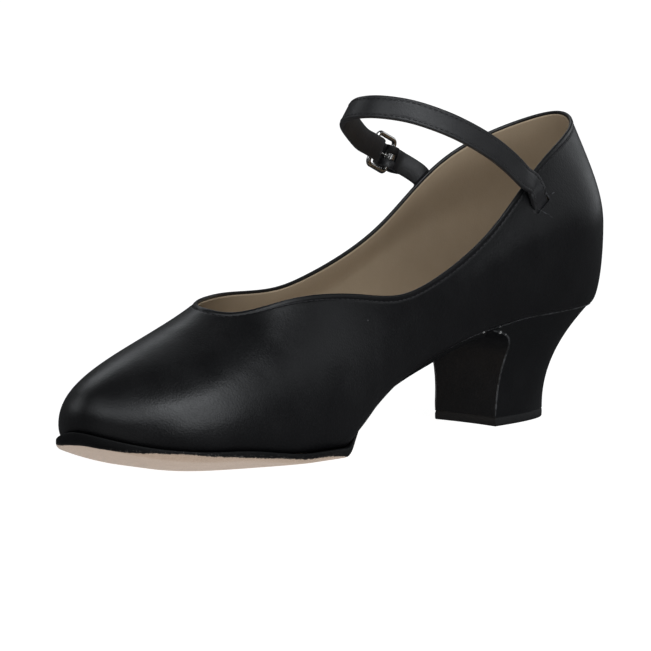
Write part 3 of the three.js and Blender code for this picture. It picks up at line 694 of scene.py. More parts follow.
def suede_material():
    """Napped suede, inked black at its rim, where the sole's edge is finished. The ink is ragged, with grey
    spots near the ink line that are painted highlights."""
    m = Nodes("suede")
    tan = m.mix(m.noise(5, 5, 0.65), (0.29, 0.21, 0.155), (0.39, 0.29, 0.22))
    fibres = m.noise(0.35, 3, 0.7)
    tan = m.mix(m.spread(fibres, 0.35, 0.7), tan, (0.43, 0.335, 0.26))
    bare = m.add("ShaderNodeAttribute", attribute_name="bare").outputs["Fac"]
    ragged = m.math("ADD", bare, m.spread(m.noise(0.8, 4, 0.7), 0.3, 0.7, -0.25, 0.25))
    inked = m.spread(ragged, -0.1, 0.25, 1.0, 0.0)
    # Painted highlights: grey spots in the black ink, near the ink line.
    highlight_spots = m.spread(m.noise(0.6, 2), 0.6, 0.68)
    near_line = m.spread(bare, -1.6, -0.1)
    ink = m.mix(m.math("MULTIPLY", highlight_spots, near_line), (0.003, 0.003, 0.0034), (0.09, 0.082, 0.076))
    m.colour(m.mix(inked, tan, ink))
    m.roughness(m.spread(inked, 0.0, 1.0, 0.95, 0.6))
    m.link(m.spread(inked, 0.0, 1.0, 0.25, 0.0), m.shader.inputs["Sheen Weight"])
    m.link(m.spread(inked, 0.0, 1.0, 0.3, 0.2), m.shader.inputs["Specular IOR Level"])
    nap = m.bump(fibres, 0.7, 0.12)
    m.normal(m.bump(m.noise(1.6, 4), 0.4, 0.15, nap))
    m.set(Sheen_Roughness=0.5)
    return m.material


def rubber_material():
    m = Nodes("top_piece_rubber")
    m.colour(m.mix(m.noise(3, 4), (0.004, 0.004, 0.0044), (0.007, 0.007, 0.0075)))
    m.roughness(m.spread(m.noise(1, 3), 0.3, 0.7, 0.55, 0.68))
    m.normal(m.bump(m.noise(0.25, 2), 0.4, 0.04))
    return m.material


def metal_material():
    m = Nodes("polished_nickel")
    m.colour(m.mix(m.noise(2, 3), (0.62, 0.61, 0.59), (0.74, 0.73, 0.71)))
    m.roughness(m.spread(m.noise(0.5, 4), 0.3, 0.7, 0.16, 0.26))
    m.normal(m.bump(m.noise(0.4, 4), 0.12, 0.01))
    m.set(Metallic=1.0)
    return m.material


def thread_material(name, dark, light):
    m = Nodes(name)
    m.colour(m.mix(m.noise(0.2, 2), dark, light))
    m.roughness(m.spread(m.noise(0.2, 2), 0.3, 0.7, 0.45, 0.6))
    m.normal(m.bump(m.noise(0.12, 2), 0.6, 0.05))
    return m.material


def painted_highlight_material():
    """The folded edges of the leather, painted light grey as the highlight along them."""
    m = Nodes("fold_painted_highlight")
    m.colour(m.mix(m.spread(m.noise(2.2, 4, 0.7), 0.4, 0.65), (0.008, 0.0084, 0.009), (0.05, 0.052, 0.056)))
    m.roughness(m.spread(m.noise(0.5, 2), 0.3, 0.7, 0.4, 0.55))
    m.normal(m.bump(m.noise(0.4, 3), 0.5, 0.05))
    return m.material


def glue_material():
    m = Nodes("dried_glue")
    m.colour(m.mix(m.noise(0.4, 2), (0.10, 0.10, 0.10), (0.24, 0.24, 0.24)))
    m.roughness(m.spread(m.noise(0.3, 2), 0.3, 0.7, 0.35, 0.6))
    m.normal(m.bump(m.noise(0.25, 2), 0.5, 0.05))
    return m.material


black = leather_material("black_leather", (0.0030, 0.0030, 0.0034), (0.0050, 0.0050, 0.0057))
cover = leather_material("heel_cover", (0.0026, 0.0027, 0.0031), (0.0042, 0.0044, 0.0051), grain=0.35)
strap_leather = leather_material("strap_leather", (0.010, 0.010, 0.0108), (0.020, 0.020, 0.0215), (0.38, 0.5), 0.6)
painted_highlight_edge = painted_highlight_material()
glue = glue_material()
lining = lining_material()
suede = suede_material()
rubber = rubber_material()
metal = metal_material()
thread = thread_material("black_thread", (0.012, 0.012, 0.013), (0.026, 0.026, 0.028))
tack_thread = thread_material("rubbed_thread", (0.03, 0.03, 0.032), (0.075, 0.075, 0.08))


# Upper

def way_round():
    """Ways round the shoe, closer at the back seam."""
    even = np.arange(UPPER_COLUMNS) / UPPER_COLUMNS
    away = np.abs(even - BACK) > 1.2 / UPPER_COLUMNS
    seam = BACK + np.linspace(-1.1, 1.1, 27) / UPPER_COLUMNS
    return np.sort(np.concatenate([even[away], seam]))


def wall_rows(arounds, drops, shares):
    """Ways up the wall for rows at drops below the topline, then at shares of what is left to the feather
    line, one column for each way round, and how far each lies below the topline."""
    ups = np.linspace(2, 0, 320)
    line = upper_point(arounds[None, :], ups[:, None])
    run = np.vstack([np.zeros(len(arounds)), np.cumsum(np.linalg.norm(np.diff(line, axis=0), axis=2), axis=0)])
    below = [np.full(len(arounds), d) for d in drops]
    below += [drops[-1] + (run[-1] - drops[-1]) * s for s in shares]
    below = np.array(below)
    up = np.stack([np.interp(below[:, k], run[:, k], ups) for k in range(len(arounds))], 1)
    return up, below


def folds(points):
    """How deep the flex folds press in at points on the last's form."""
    depth = np.zeros(points.shape[:-1])
    for x0, y0, x1, y1, width, deep in FOLDS:
        start, way = np.array([x0, y0]), np.array([x1 - x0, y1 - y0])
        off = points[..., :2] - start
        share = off @ way / (way @ way)
        away = np.linalg.norm(off - share[..., None] * way, axis=-1)
        bow = away + 1.2 * np.sin(np.pi * share)
        depth += deep * np.exp(-((bow / width) ** 2)) * np.exp(-(((share - 0.5) / 0.42) ** 4))
    return depth


def relief(arounds, up, below):
    """How far the leather stands off the last's form: topline bead, stitch groove, back seam and folds."""
    bead = BEAD_RISE * np.sqrt(np.clip(1 - (below / BEAD_DEPTH - 0.45) ** 2 / 0.35, 0, 1))
    groove = 0.16 * np.exp(-(((below - STITCH_DROP) / 0.35) ** 2))
    off_seam = (arounds - BACK) * runs.sum()
    seam = 0.28 * np.exp(-((off_seam / 0.45) ** 2)) - 0.1 * np.exp(-(((np.abs(off_seam) - 1.1) / 0.5) ** 2))
    fade = smooth_step((below - 1.5) / 2)
    pressed = folds(upper_point(arounds, up)) * smooth_step((below - 3) / 4)
    return bead - groove - seam * fade - pressed


def make_upper():
    arounds = way_round()
    drops = [0.5, 0.65, 0.85, 1.1, 1.35, 1.55, 1.7, 1.85, 2.0, 2.15, 2.35, 2.6, 3.0]
    shares = np.linspace(0, 1, 60)[1:]
    up, below = wall_rows(arounds, drops, shares)
    base = upper_point(arounds[None, :], up)
    normal = upper_normal(np.broadcast_to(arounds, up.shape), up)
    outer = base + normal * relief(arounds, up, below)[..., None]
    inner_rows = list(range(0, 13, 3)) + list(range(14, len(up), 3)) + [len(up) - 1]
    inner = (base - normal * LEATHER)[inner_rows]
    crest = upper_point(arounds, np.full(len(arounds), 2.0))
    upward = unit(crest - base[0])
    half = (outer[0] - inner[0]) / 2
    middle = (outer[0] + inner[0]) / 2
    turns = np.linspace(0, np.pi, 9)[1:-1]
    roll = [middle + half * math.cos(t) + upward * np.linalg.norm(half, axis=1)[:, None] * math.sin(t) for t in turns]
    rings = np.concatenate([outer[::-1], np.array(roll), inner])
    return wrapped("upper_shell", rings, black, sharp=60)


def make_lining():
    arounds = np.arange(300) / 300
    up, _ = wall_rows(arounds, [LINING_DROP, LINING_DROP + 0.3, LINING_DROP + 0.8], np.linspace(0, 1, 34)[1:])
    base = upper_point(arounds[None, :], up)
    normal = upper_normal(np.broadcast_to(arounds, up.shape), up)
    near = base - normal * (LEATHER + 0.03)
    far = base - normal * WALL
    rings = np.concatenate([near[::-1], ((near[0] + far[0]) / 2 + 0.25 * unit(near[0] - near[1]))[None], far])
    return wrapped("upper_lining", rings, lining, sharp=60)


def make_topline_stitches():
    arounds = np.arange(900) / 900
    up, below = wall_rows(arounds, [STITCH_DROP], [])
    path = upper_point(arounds, up[0])
    normals = upper_normal(arounds, up[0])
    path = path + normals * relief(arounds, up, below)[0][:, None]
    return stitches("topline_stitches", path, normals, thread, 2.3, 1.75, 0.2, closed=True, sink=0.04)


# Strap and buckle

def on_quarter(row, thickness):
    around, up, out = row
    facing = upper_normal(np.array(around), np.array(up))
    lift = STRAP_ROOM * out + thickness / 2 if out > 0 else out * WALL
    return upper_point(around, up) + facing * lift, facing


def round_ankle(row):
    turn, rise, tilt = row
    way, lean = math.radians(turn), math.radians(tilt)
    at = np.array([ANKLE_X + ANKLE_LENGTH * math.cos(way), ANKLE_WIDTH * math.sin(way), rise * COLLAR_HEIGHT])
    level = unit(np.array([math.cos(way) / ANKLE_LENGTH, math.sin(way) / ANKLE_WIDTH]))
    return at, np.array([level[0] * math.cos(lean), level[1] * math.cos(lean), math.sin(lean)])


hinge, hinge_out = round_ankle((HINGE_TURN, HINGE_RISE, 8))
BUCKLE_ALONG = unit(round_ankle(STRAP_LINE[-1])[0] - hinge)
BUCKLE_OUT = unit(hinge_out - BUCKLE_ALONG * (hinge_out @ BUCKLE_ALONG))
BUCKLE_ACROSS = np.cross(BUCKLE_OUT, BUCKLE_ALONG)
HINGE = hinge + BUCKLE_OUT * LOOP_RADIUS


def in_buckle(along, out, across=0.0):
    return HINGE + BUCKLE_ALONG * along + BUCKLE_OUT * out + BUCKLE_ACROSS * across


def by_buckle(row):
    return in_buckle(row[0] * BUCKLE_LENGTH, row[1] * BUCKLE_LENGTH), BUCKLE_OUT


def sweep(nodes, section, steps, shape=lambda t: (1.0, 1.0)):
    """Rings of a section, as across and out, through nodes of place and facing. shape gives the section's
    width and thickness as shares, from 0 to 1 along."""
    t = np.linspace(0, 1, steps + 1)
    path = rounded_path([n[0] for n in nodes], t)
    ahead = rounded_path([n[0] for n in nodes], np.minimum(1, t + 1e-3))
    behind = rounded_path([n[0] for n in nodes], np.maximum(0, t - 1e-3))
    along = unit(ahead - behind)
    out = rounded_path([n[1] for n in nodes], t)
    out = unit(out - along * np.sum(out * along, 1, keepdims=True))
    across = np.cross(out, along)
    size = np.array([shape(s) for s in t])
    section = np.array(section)
    rings = path[:, None] + across[:, None] * section[None, :, :1] * size[:, None, :1]
    return rings + out[:, None] * section[None, :, 1:] * size[:, None, 1:], path, across, out, size


def strip_section(width, thickness, round_edge, groove=0.0, inset=STRAP_STITCH_INSET):
    """A strap's section: rounded edges, a faint crown, and a groove where its stitches sink."""
    w, t = width / 2, thickness / 2
    top = [w - round_edge, w - inset + 0.35, w - inset, w - inset - 0.35, w - inset - 1.0, 1.0]
    top = top + [-a for a in reversed(top)]
    crown = [t * (1 + 0.05 * (1 - (a / w) ** 2)) - groove * math.exp(-(((abs(a) - w + inset) / 0.3) ** 2)) for a in top]
    turns = np.radians([67, 45, 22, 0])
    right = [(w - round_edge + round_edge * math.cos(a), t - round_edge + round_edge * math.sin(a)) for a in turns[::-1]]
    half = right + list(zip(top, crown)) + [(-a, o) for a, o in right[::-1]]
    under = [(a, -o) for a, o in right]
    return half + [(-a, o) for a, o in under] + [(0.0, -t)] + under[::-1]


def strap_nodes():
    rows = [on_quarter(row, STRAP_THICKNESS) for row in STRAP_ROOT]
    return rows + [round_ankle(row) for row in STRAP_LINE] + [by_buckle(row) for row in STRAP_TAIL]


def tab_nodes():
    return [on_quarter(row, TAB_THICKNESS) for row in TAB_ROOT] + [by_buckle(row) for row in TAB_END]


def strap_shape(t):
    """Skived thin where it is sewn in, and pointed at its free end."""
    thin = 0.3 + 0.7 * smooth_step((t - 0.02) / 0.075)
    point = min(1.0, 0.35 + math.sqrt((1 - t) * 20) * 0.65)
    return point, float(thin)


def tab_shape(t):
    return 1.0, float(0.3 + 0.7 * smooth_step((t - 0.1) / 0.28))


def rod(name, start, end, radius, sides=24):
    """A round rod between two points."""
    along = unit(end - start)
    side = unit(np.cross(along, BUCKLE_OUT if abs(along @ BUCKLE_OUT) < 0.9 else BUCKLE_ALONG))
    other = np.cross(along, side)
    turn = np.linspace(0, 2 * np.pi, sides, endpoint=False)[:, None]
    ring = radius * (np.cos(turn) * side + np.sin(turn) * other)
    return capped(name, np.array([start + ring, end + ring]))


def across_hinge(name, radius, half, sides=40):
    return rod(name, in_buckle(0, 0, -half), in_buckle(0, 0, half), radius, sides)


def prong_line():
    start = in_buckle(WIRE_RADIUS, PRONG_LOOP_RADIUS - PRONG_RADIUS)
    return start, in_buckle(BUCKLE_LENGTH + 1.6 * WIRE_RADIUS, 2.3 * WIRE_RADIUS)


def strap_hole(name, t, radius):
    """A rod through the strap at a share of its run."""
    _, path, across, out, _ = sweep(strap_nodes(), [(0, 0)], 400)
    i = int(t * 400)
    return rod(name, path[i] - out[i] * 2.2, path[i] + out[i] * 2.2, radius)


HOLES = [0.845, 0.975]  # the strap's spare holes, as shares of its run


def make_strap():
    section = strip_section(STRAP_WIDTH, STRAP_THICKNESS, 0.5, groove=0.14)
    rings, path, across, out, size = sweep(strap_nodes(), section, 460, strap_shape)
    strap = capped("strap_leather", rings, strap_leather, sharp=75)
    start, end = prong_line()
    boolean(strap, "DIFFERENCE", rod("prong_hole", start, end, PRONG_RADIUS + PIVOT_CLEARANCE))
    for t in HOLES:
        boolean(strap, "DIFFERENCE", strap_hole("spare_hole", t, 0.95))
    strap.data.materials.clear()
    strap.data.materials.append(strap_leather)
    rows = []
    run = slice(int(0.085 * 460), int(0.985 * 460))
    for side in (-1, 1):
        line = path + across * side * (STRAP_WIDTH / 2 - STRAP_STITCH_INSET) * size[:, :1]
        line = line + out * STRAP_THICKNESS / 2 * size[:, 1:]
        rows.append((line[run], out[run]))
    return strap, rows


def make_tab():
    rings, path, across, out, size = sweep(tab_nodes(), strip_section(TAB_WIDTH, TAB_THICKNESS, 0.45, 0.1), 120, tab_shape)
    tab = capped("tab_leather", rings, strap_leather, sharp=50)
    boolean(tab, "UNION", across_hinge("loop", LOOP_RADIUS, TAB_WIDTH / 2))
    boolean(tab, "DIFFERENCE", across_hinge("bore", WIRE_RADIUS + PIVOT_CLEARANCE, TAB_WIDTH))
    half = PRONG_LOOP_WIDTH / 2 + PIVOT_CLEARANCE
    boolean(tab, "DIFFERENCE", across_hinge("notch", LOOP_RADIUS + PIVOT_CLEARANCE, half))
    tab.data.materials.clear()
    tab.data.materials.append(strap_leather)
    rows = []
    run = slice(int(0.42 * 120), int(0.84 * 120))
    for side in (-1, 1):
        line = path + across * side * (TAB_WIDTH / 2 - STRAP_STITCH_INSET)
        rows.append(((line + out * TAB_THICKNESS / 2)[run], out[run]))
    return tab, rows


def make_buckle_frame():
    """A wire rectangle with rounded corners, a little flattened."""
    length, half = BUCKLE_LENGTH, BUCKLE_WIDTH / 2
    corners = [(length, half, 0), (length, -half, 270), (0, -half, 180), (0, half, 90)]
    turn = np.linspace(0, 2 * np.pi, 20, endpoint=False)
    rings = []
    for along, across, start in corners:
        in_along = along - math.copysign(BUCKLE_CORNER, along - length / 2)
        in_across = across - math.copysign(BUCKLE_CORNER, across)
        for step in np.linspace(90, 0, 13):
            angle = math.radians(start + step)
            away = BUCKLE_ALONG * math.cos(angle) + BUCKLE_ACROSS * math.sin(angle)
            middle = in_buckle(in_along, 0, in_across) + away * BUCKLE_CORNER
            ring = np.cos(turn)[:, None] * away + np.sin(turn)[:, None] * BUCKLE_OUT
            rings.append(middle + WIRE_RADIUS * ring)
    return wrapped("buckle_wire", np.array(rings), metal)


def make_prong():
    """A loop round the hinge bar, and a pin that tapers to its round tip on the far bar."""
    prong = across_hinge("prong_pin", PRONG_LOOP_RADIUS, PRONG_LOOP_WIDTH / 2)
    start, end = prong_line()
    along = unit(end - start)
    length = np.linalg.norm(end - start)
    side = np.cross(along, BUCKLE_OUT)
    up = np.cross(side, along)
    turn = np.linspace(0, 2 * np.pi, 20, endpoint=False)[:, None]
    rings = []
    for s in np.concatenate([np.linspace(0, 0.9, 12), 1 - 0.1 * np.linspace(0.9, 0.02, 10) ** 2]):
        tip = math.sqrt(max(0.0, 1 - max(0.0, (s - 0.95) / 0.05) ** 2))
        radius = PRONG_RADIUS * (1 - 0.12 * s) * max(tip, 0.1)
        rings.append(start + along * length * s + radius * (np.cos(turn) * side + np.sin(turn) * up))
    boolean(prong, "UNION", capped("pin", np.array(rings)))
    boolean(prong, "DIFFERENCE", across_hinge("bore", WIRE_RADIUS + PIVOT_CLEARANCE, TAB_WIDTH))
    soften(prong, 0.18, 40)
    prong.data.materials.clear()
    prong.data.materials.append(metal)
    return prong


# Sole, insole and heel

def around_at(line, x, start, end):
    """Where a closed outline reaches each x, between two ways round it."""
    low, high = np.full(len(x), float(start)), np.full(len(x), float(end))
    for _ in range(40):
        middle = (low + high) / 2
        beyond = line(middle)[:, 0] > x
        low, high = np.where(beyond, middle, low), np.where(beyond, high, middle)
    return (low + high) / 2


def rows_across(line, xs, across):
    """Plan points in rows straight across an outline."""
    xs = np.asarray(xs, float)
    inner = line(around_at(line, xs, 0, BACK))
    outer = line(around_at(line, xs, 1, BACK))
    share = np.linspace(0, 1, across + 1)[None, :, None]
    return inner[:, None] * (1 - share) + outer[:, None] * share


def raised(rows, height):
    return np.concatenate([rows, height(rows[..., 0], rows[..., 1])[..., None]], -1)


def toe_rows(front, back, count, both=False):
    """Positions along the shoe, gathered at a round front, and at a round back."""
    t = np.linspace(0, 1, count)
    t = (1 - np.cos(np.pi * t)) / 2 if both else t ** SOLE_SHARPNESS
    return front + (back - front) * t


def make_outsole():
    def line(inset):
        return lambda around: sole_edge(around) + inward(around) * inset

    def thickness(x):
        forward = smooth_step((x - LENGTH / 2) / (TREAD_X - LENGTH / 2))
        return WAIST_THICKNESS + (SOLE_THICKNESS - WAIST_THICKNESS) * forward

    front = sole_edge(np.array(0.0))[0] - 0.05
    profile = [(1.5, 0.0), (1.0, 0.1), (0.6, 0.28), (0.3, 0.55), (0.12, 0.85), (0.03, 1.15), (0.0, 1.45)]
    profile += [(0.0, 1.8), (0.0, 2.3), (0.05, 2.62), (0.18, 2.86), (0.36, 3.0), (0.7, 3.05), (1.0, 3.05)]
    levels = []
    for inset, rise in profile:
        xs = toe_rows(front - inset, HEEL_FLARE_X + GAP, 190)
        rows = rows_across(line(inset), xs, 44)
        share = rise / profile[-1][1]
        levels.append(raised(rows, lambda x, y, s=share: bottom_height(x, y) - thickness(x) * (1 - s)))
    sole = stacked("sole_leather", levels, suede, sharp=60)
    points = np.array([v.co for v in sole.data.vertices]) / MM - ORIGIN
    depth = bottom_height(points[:, 0], points[:, 1]) - points[:, 2]
    above = thickness(points[:, 0]) - depth
    rim = KDTree(1200)
    for i, (x, y) in enumerate(sole_edge(np.arange(1200) / 1200)):
        rim.insert((x, y, 0), i)
    rim.balance()
    found = [rim.find((x, y, 0)) for x, y, _ in points]
    inset = np.array([f[2] for f in found])
    around = np.array([f[1] for f in found]) / 1200
    ink_share, ink_rise = np.array(INK_LINE).T
    under = np.where(above < SOLE_THICKNESS / 2, inset, 0)
    bare = np.interp(np.minimum(around, 1 - around), ink_share, ink_rise) - above + under
    attribute = sole.data.attributes.new("bare", "FLOAT", "POINT")
    attribute.data.foreach_set("value", bare.astype(np.float32))
    return sole


def make_insole():
    """The insole, its sock turned out over the edge of the lining."""
    def line(inset):
        return lambda around: feather_line(around, -INSOLE_CLEARANCE) + inward(around) * inset

    front = line(0)(np.array(0.0))[0] - 0.15
    back = line(0)(np.array(BACK))[0] + 0.15
    levels = []
    for inset, share in [(0.4, 0.0), (0.0, 0.2), (0.0, 0.78), (-1.3, 0.86), (-1.4, 0.92), (-1.1, 1.0)]:
        rows = rows_across(line(inset), toe_rows(front - inset, back + inset, 150, both=True), 36)
        lift = GAP + INSOLE_THICKNESS * share
        levels.append(raised(rows, lambda x, y, h=lift: bottom_height(x, y) + h))
    return stacked("insole_sock", levels, lining, sharp=60)


def heel_floor_rows(rows, across, inset=0.0):
    turn = (np.pi / 2) * (1 - np.arange(rows + 1) / (rows + 0.25))
    x = HEEL_BREAST_X - inset - (HEEL_LENGTH - 2 * inset) * np.cos(turn) ** (2 / HEEL_SQUARENESS)
    half = (HEEL_WIDTH / 2 - inset) * np.sin(turn) ** (2 / HEEL_SQUARENESS)
    side = 1 - 2 * np.arange(across + 1) / across
    grid = np.stack([np.repeat(x[:, None], across + 1, 1), half[:, None] * side], -1)
    grid[0, :, 0] -= BREAST_HOLLOW * (1 - side ** 2)
    return grid


def heel_levels(rows=44, across=30, count=46):
    """Grids of the heel's points from its floor to its seat. Their first rows make the breast."""
    floor = heel_floor_rows(rows, across)
    floor[0, :, 0] = HEEL_BREAST_X
    back_x = feather_line(np.array(BACK))[0] + 0.5
    seat_xs = HEEL_BREAST_X + (back_x - HEEL_BREAST_X) * np.sin(np.pi / 2 * np.arange(rows + 1) / rows)
    seat = rows_across(feather_line, seat_xs, across)
    share = (np.arange(rows + 1) / rows)[:, None]
    front = (1 - share) ** 3
    side = 1 - 2 * np.arange(across + 1) / across
    base = TIP_THICKNESS + GAP
    levels = []
    for k in range(count + 1):
        up = 1 - (1 - k / count) ** 1.5
        sweep_up = up ** 12
        plan = floor + (seat - floor) * (up ** (2.6 - 0.7 * share))[..., None]
        plan[..., 0] += ((HEEL_FLARE_X - HEEL_BREAST_X) * sweep_up - BREAST_RAKE * up * (1 - sweep_up)) * front
        plan[0, :, 0] -= BREAST_HOLLOW * (1 - side ** 2) * (1 - sweep_up)
        top = bottom_height(seat[..., 0] + (HEEL_FLARE_X - HEEL_BREAST_X) * front, seat[..., 1])
        levels.append(np.concatenate([plan, (base + (top - base) * up)[..., None]], -1))
    levels[0][..., 2] -= GAP - 0.04
    return levels


def make_heel():
    return soften(stacked("heel_block", heel_levels(), cover, sharp=35), 0.3, 40, 4)


def make_heel_tip():
    """The top piece, its back corner worn round."""
    levels = []
    worn = (np.arange(45) / 44)[:, None] ** 8
    for inset, z, wear in [(0.25, 0.0, 1.6), (0.05, 0.25, 0.95), (0.0, 1.0, 0.35), (0.0, 2.0, 0.0), (0.2, 3.0, 0.0)]:
        grid = heel_floor_rows(44, 30, inset)
        grid[..., 0] += wear * worn
        levels.append(np.concatenate([grid, np.full(grid.shape[:2] + (1,), z)], -1))
    return stacked("top_piece", levels, rubber, sharp=50)


def cord(name, path, out, radius, material, taper=3.0):
    """A thin round cord along a path, tapered at its ends."""
    run = np.concatenate([[0], np.cumsum(np.linalg.norm(np.diff(path, axis=0), axis=1))])
    left = np.minimum(run, run[-1] - run)
    size = radius * np.sqrt(np.clip(left / taper, 0.02, 1))
    along = unit(np.gradient(path, axis=0))
    out = unit(out - along * np.sum(out * along, 1, keepdims=True))
    side = np.cross(out, along)
    turn = np.linspace(0, 2 * np.pi, 10, endpoint=False)
    ring = np.cos(turn)[None, :, None] * out[:, None] + np.sin(turn)[None, :, None] * side[:, None]
    return capped(name, path[:, None] + ring * size[:, None, None], material, sharp=80)


def seat_seam():
    """Path of the seam between the upper and the waist and heel, and the way out from it."""
    start = around_at(feather_line, np.array([SEAM_FRONT]), 0, BACK)[0]
    end = around_at(feather_line, np.array([SEAM_FRONT]), 1, BACK)[0]
    arounds = np.linspace(start, end, 500)
    plan = feather_line(arounds)
    out = np.concatenate([-inward(arounds), np.zeros((500, 1))], -1)
    path = np.concatenate([plan, (bottom_height(plan[:, 0], plan[:, 1]) + GAP / 2)[:, None]], -1)
    proud = 0.1 + 0.4 * np.exp(-(((plan[:, :1] - 60) / 9) ** 2))
    return path + out * proud, out


def breast_edge(side):
    """Path up one corner of the breast, 0 for the inner and -1 for the outer, and the way out from it."""
    path = np.array([level[0, side] for level in heel_levels()])[:-1]
    out = np.array([1.0, 1.0 if side == 0 else -1.0, 0.0]) / math.sqrt(2)
    return path - out * 0.14, np.broadcast_to(out, path.shape)


def make_specks():
    """Dried glue at the inner corner of the breast."""
    seam, seam_out = seat_seam()
    edge_path, edge_out = breast_edge(0)
    one, one_faces = stitch_points(1.0, 0.5)
    points, faces = [], []
    for place, size in GLUE_ON_SEAM:
        i = int(np.argmin(np.abs(seam[:250, 0] - place)))
        points.append(seam[i] + seam_out[i] * 0.15 + one * size)
    for share, size in GLUE_ON_BREAST:
        i = int(share * (len(edge_path) - 1))
        points.append(edge_path[i] + edge_out[i] * 0.15 + one * size)
    for k in range(len(points)):
        faces += [[k * len(one) + i for i in face] for face in one_faces]
    return add_mesh("glue_specks", np.vstack(points), faces, glue, sharp=80)


def mark_line(start, end, count, lift):
    """Points on the upper between two places, each a way round and up, and the ways out there."""
    share = np.linspace(0, 1, count)
    around = start[0] + (end[0] - start[0]) * share
    up = start[1] + (end[1] - start[1]) * share
    out = upper_normal(around, up)
    return upper_point(around, up) + out * lift, out


def make_marks():
    """Small marks on the upper: the bar tack behind the strap, the strap's end pressing through the leather
    below its slit, and a speck of dust on the inner side."""
    tack = stitches("bar_tack", *mark_line(*BAR_TACK, 12, 0.1), tack_thread, pitch=2.5, length=1.9, radius=0.2)
    # The strap end's ridge is drawn in the same light grey, a painted highlight along it.
    end = cord("strap_end_under", *mark_line(*STRAP_UNDER, 40, -0.06), 0.2, painted_highlight_edge)
    one, faces = stitch_points(0.8, 0.24)
    at, _ = mark_line(DUST, DUST, 1, 0.05)
    return [tack, end, add_mesh("dust_speck", at + one, faces, tack_thread, sharp=80)]


# Stage

PHOTO_TURN = 42.0  # camera's way round from the toe to the inner side, in degrees
PHOTO_RISE = 7.5  # its angle over level
CAMERA_DISTANCE = 3500.0
AIM = (130.0, 0.0, 45.0)
PHOTO_SCALE = 1.2  # photograph's pixels a millimetre at the aim
ZOOM = 2.5  # render's pixels for each of the photograph's
IMAGE = 651
SHIFT = (0.01, -0.02)  # frames the shoe's middle
LIGHT_DISTANCE = 2.0
# Soft boxes: name, turn from the camera's way round, rise, width and height in degrees, and radiance
SOFT_BOXES = [
    ("left", -45, 37, 30, 26, 0.95),
    ("left_high", -45, 60, 40, 20, 0.5),
    ("front_left", -15, 35, 30, 30, 1.2),
    ("front", 15, 40, 30, 30, 1.0),
    ("right_low", 45, 15, 30, 30, 2.3),
    ("right", 45, 45, 30, 30, 2.3),
    ("right_high", 42, 60, 26, 16, 2.2),
    ("side_low", 75, 24, 30, 22, 0.22),
    ("side", 110, 24, 28, 20, 0.4),
    ("far_side", 138, 10, 26, 20, 0.95),
    ("back", -168, 34, 40, 24, 0.9),
    ("outer_side", -112, 24, 36, 28, 0.8),
]
LIGHT_TINT = (0.93, 0.965, 1.0)
FLOOR_GLOW = (-24, -20)  # turn and rise of the floor's brightest part, in front of the toe


def way_from(turn, rise):
    """A direction at a turn from the camera's way round, and a rise over level, in degrees."""
    angle, up = math.radians(PHOTO_TURN + turn), math.radians(rise)
    return Vector((math.cos(angle) * math.cos(up), math.sin(angle) * math.cos(up), math.sin(up)))


def placed(point):
    return Vector(((np.array(point) + ORIGIN) * MM).tolist())


def add_camera():
    data = bpy.data.cameras.new("camera")
    camera = bpy.data.objects.new("camera", data)
    bpy.context.scene.collection.objects.link(camera)
    data.sensor_width = 36.0
    data.lens = data.sensor_width * PHOTO_SCALE * ZOOM * CAMERA_DISTANCE / IMAGE
    data.shift_x, data.shift_y = SHIFT
    data.clip_end = 100.0
    back = way_from(0, PHOTO_RISE)
    camera.location = placed(AIM) + back * CAMERA_DISTANCE * MM
    camera.rotation_euler = back.to_track_quat("Z", "Y").to_euler()
    bpy.context.scene.camera = camera


def add_light(name, turn, rise, width, height, radiance):
    """A soft box at a turn from the camera's way round, facing the shoe. Its width and height are the
    angles, in degrees, that it fills as the shoe sees it."""
    data = bpy.data.lights.new(name, "AREA")
    data.shape = "RECTANGLE"
    data.size = 2 * LIGHT_DISTANCE * math.tan(math.radians(width) / 2)
    data.size_y = 2 * LIGHT_DISTANCE * math.tan(math.radians(height) / 2)
    data.energy = radiance * math.pi * data.size * data.size_y
    data.color = LIGHT_TINT
    light = bpy.data.objects.new(name, data)
    bpy.context.scene.collection.objects.link(light)
    way = way_from(turn, rise)
    light.location = placed(AIM) + way * LIGHT_DISTANCE
    light.rotation_euler = way.to_track_quat("Z", "Y").to_euler()


def add_floor():
    half = 8.0
    mesh = bpy.data.meshes.new("floor")
    mesh.from_pydata([(-half, -half, 0), (half, -half, 0), (half, half, 0), (-half, half, 0)], [], [(0, 1, 2, 3)])
    floor = bpy.data.objects.new("floor", mesh)
    bpy.context.scene.collection.objects.link(floor)
    floor.visible_glossy = False
    m = Nodes("white_floor")
    m.colour(m.mix(m.noise(40, 3), (0.30, 0.30, 0.30), (0.32, 0.32, 0.32)))
    m.set(Roughness=0.9, Specular_IOR_Level=0.0)
    m.set(Emission_Color=(1.0, 1.0, 1.0, 1.0), Emission_Strength=0.95)
    mesh.materials.append(m.material)


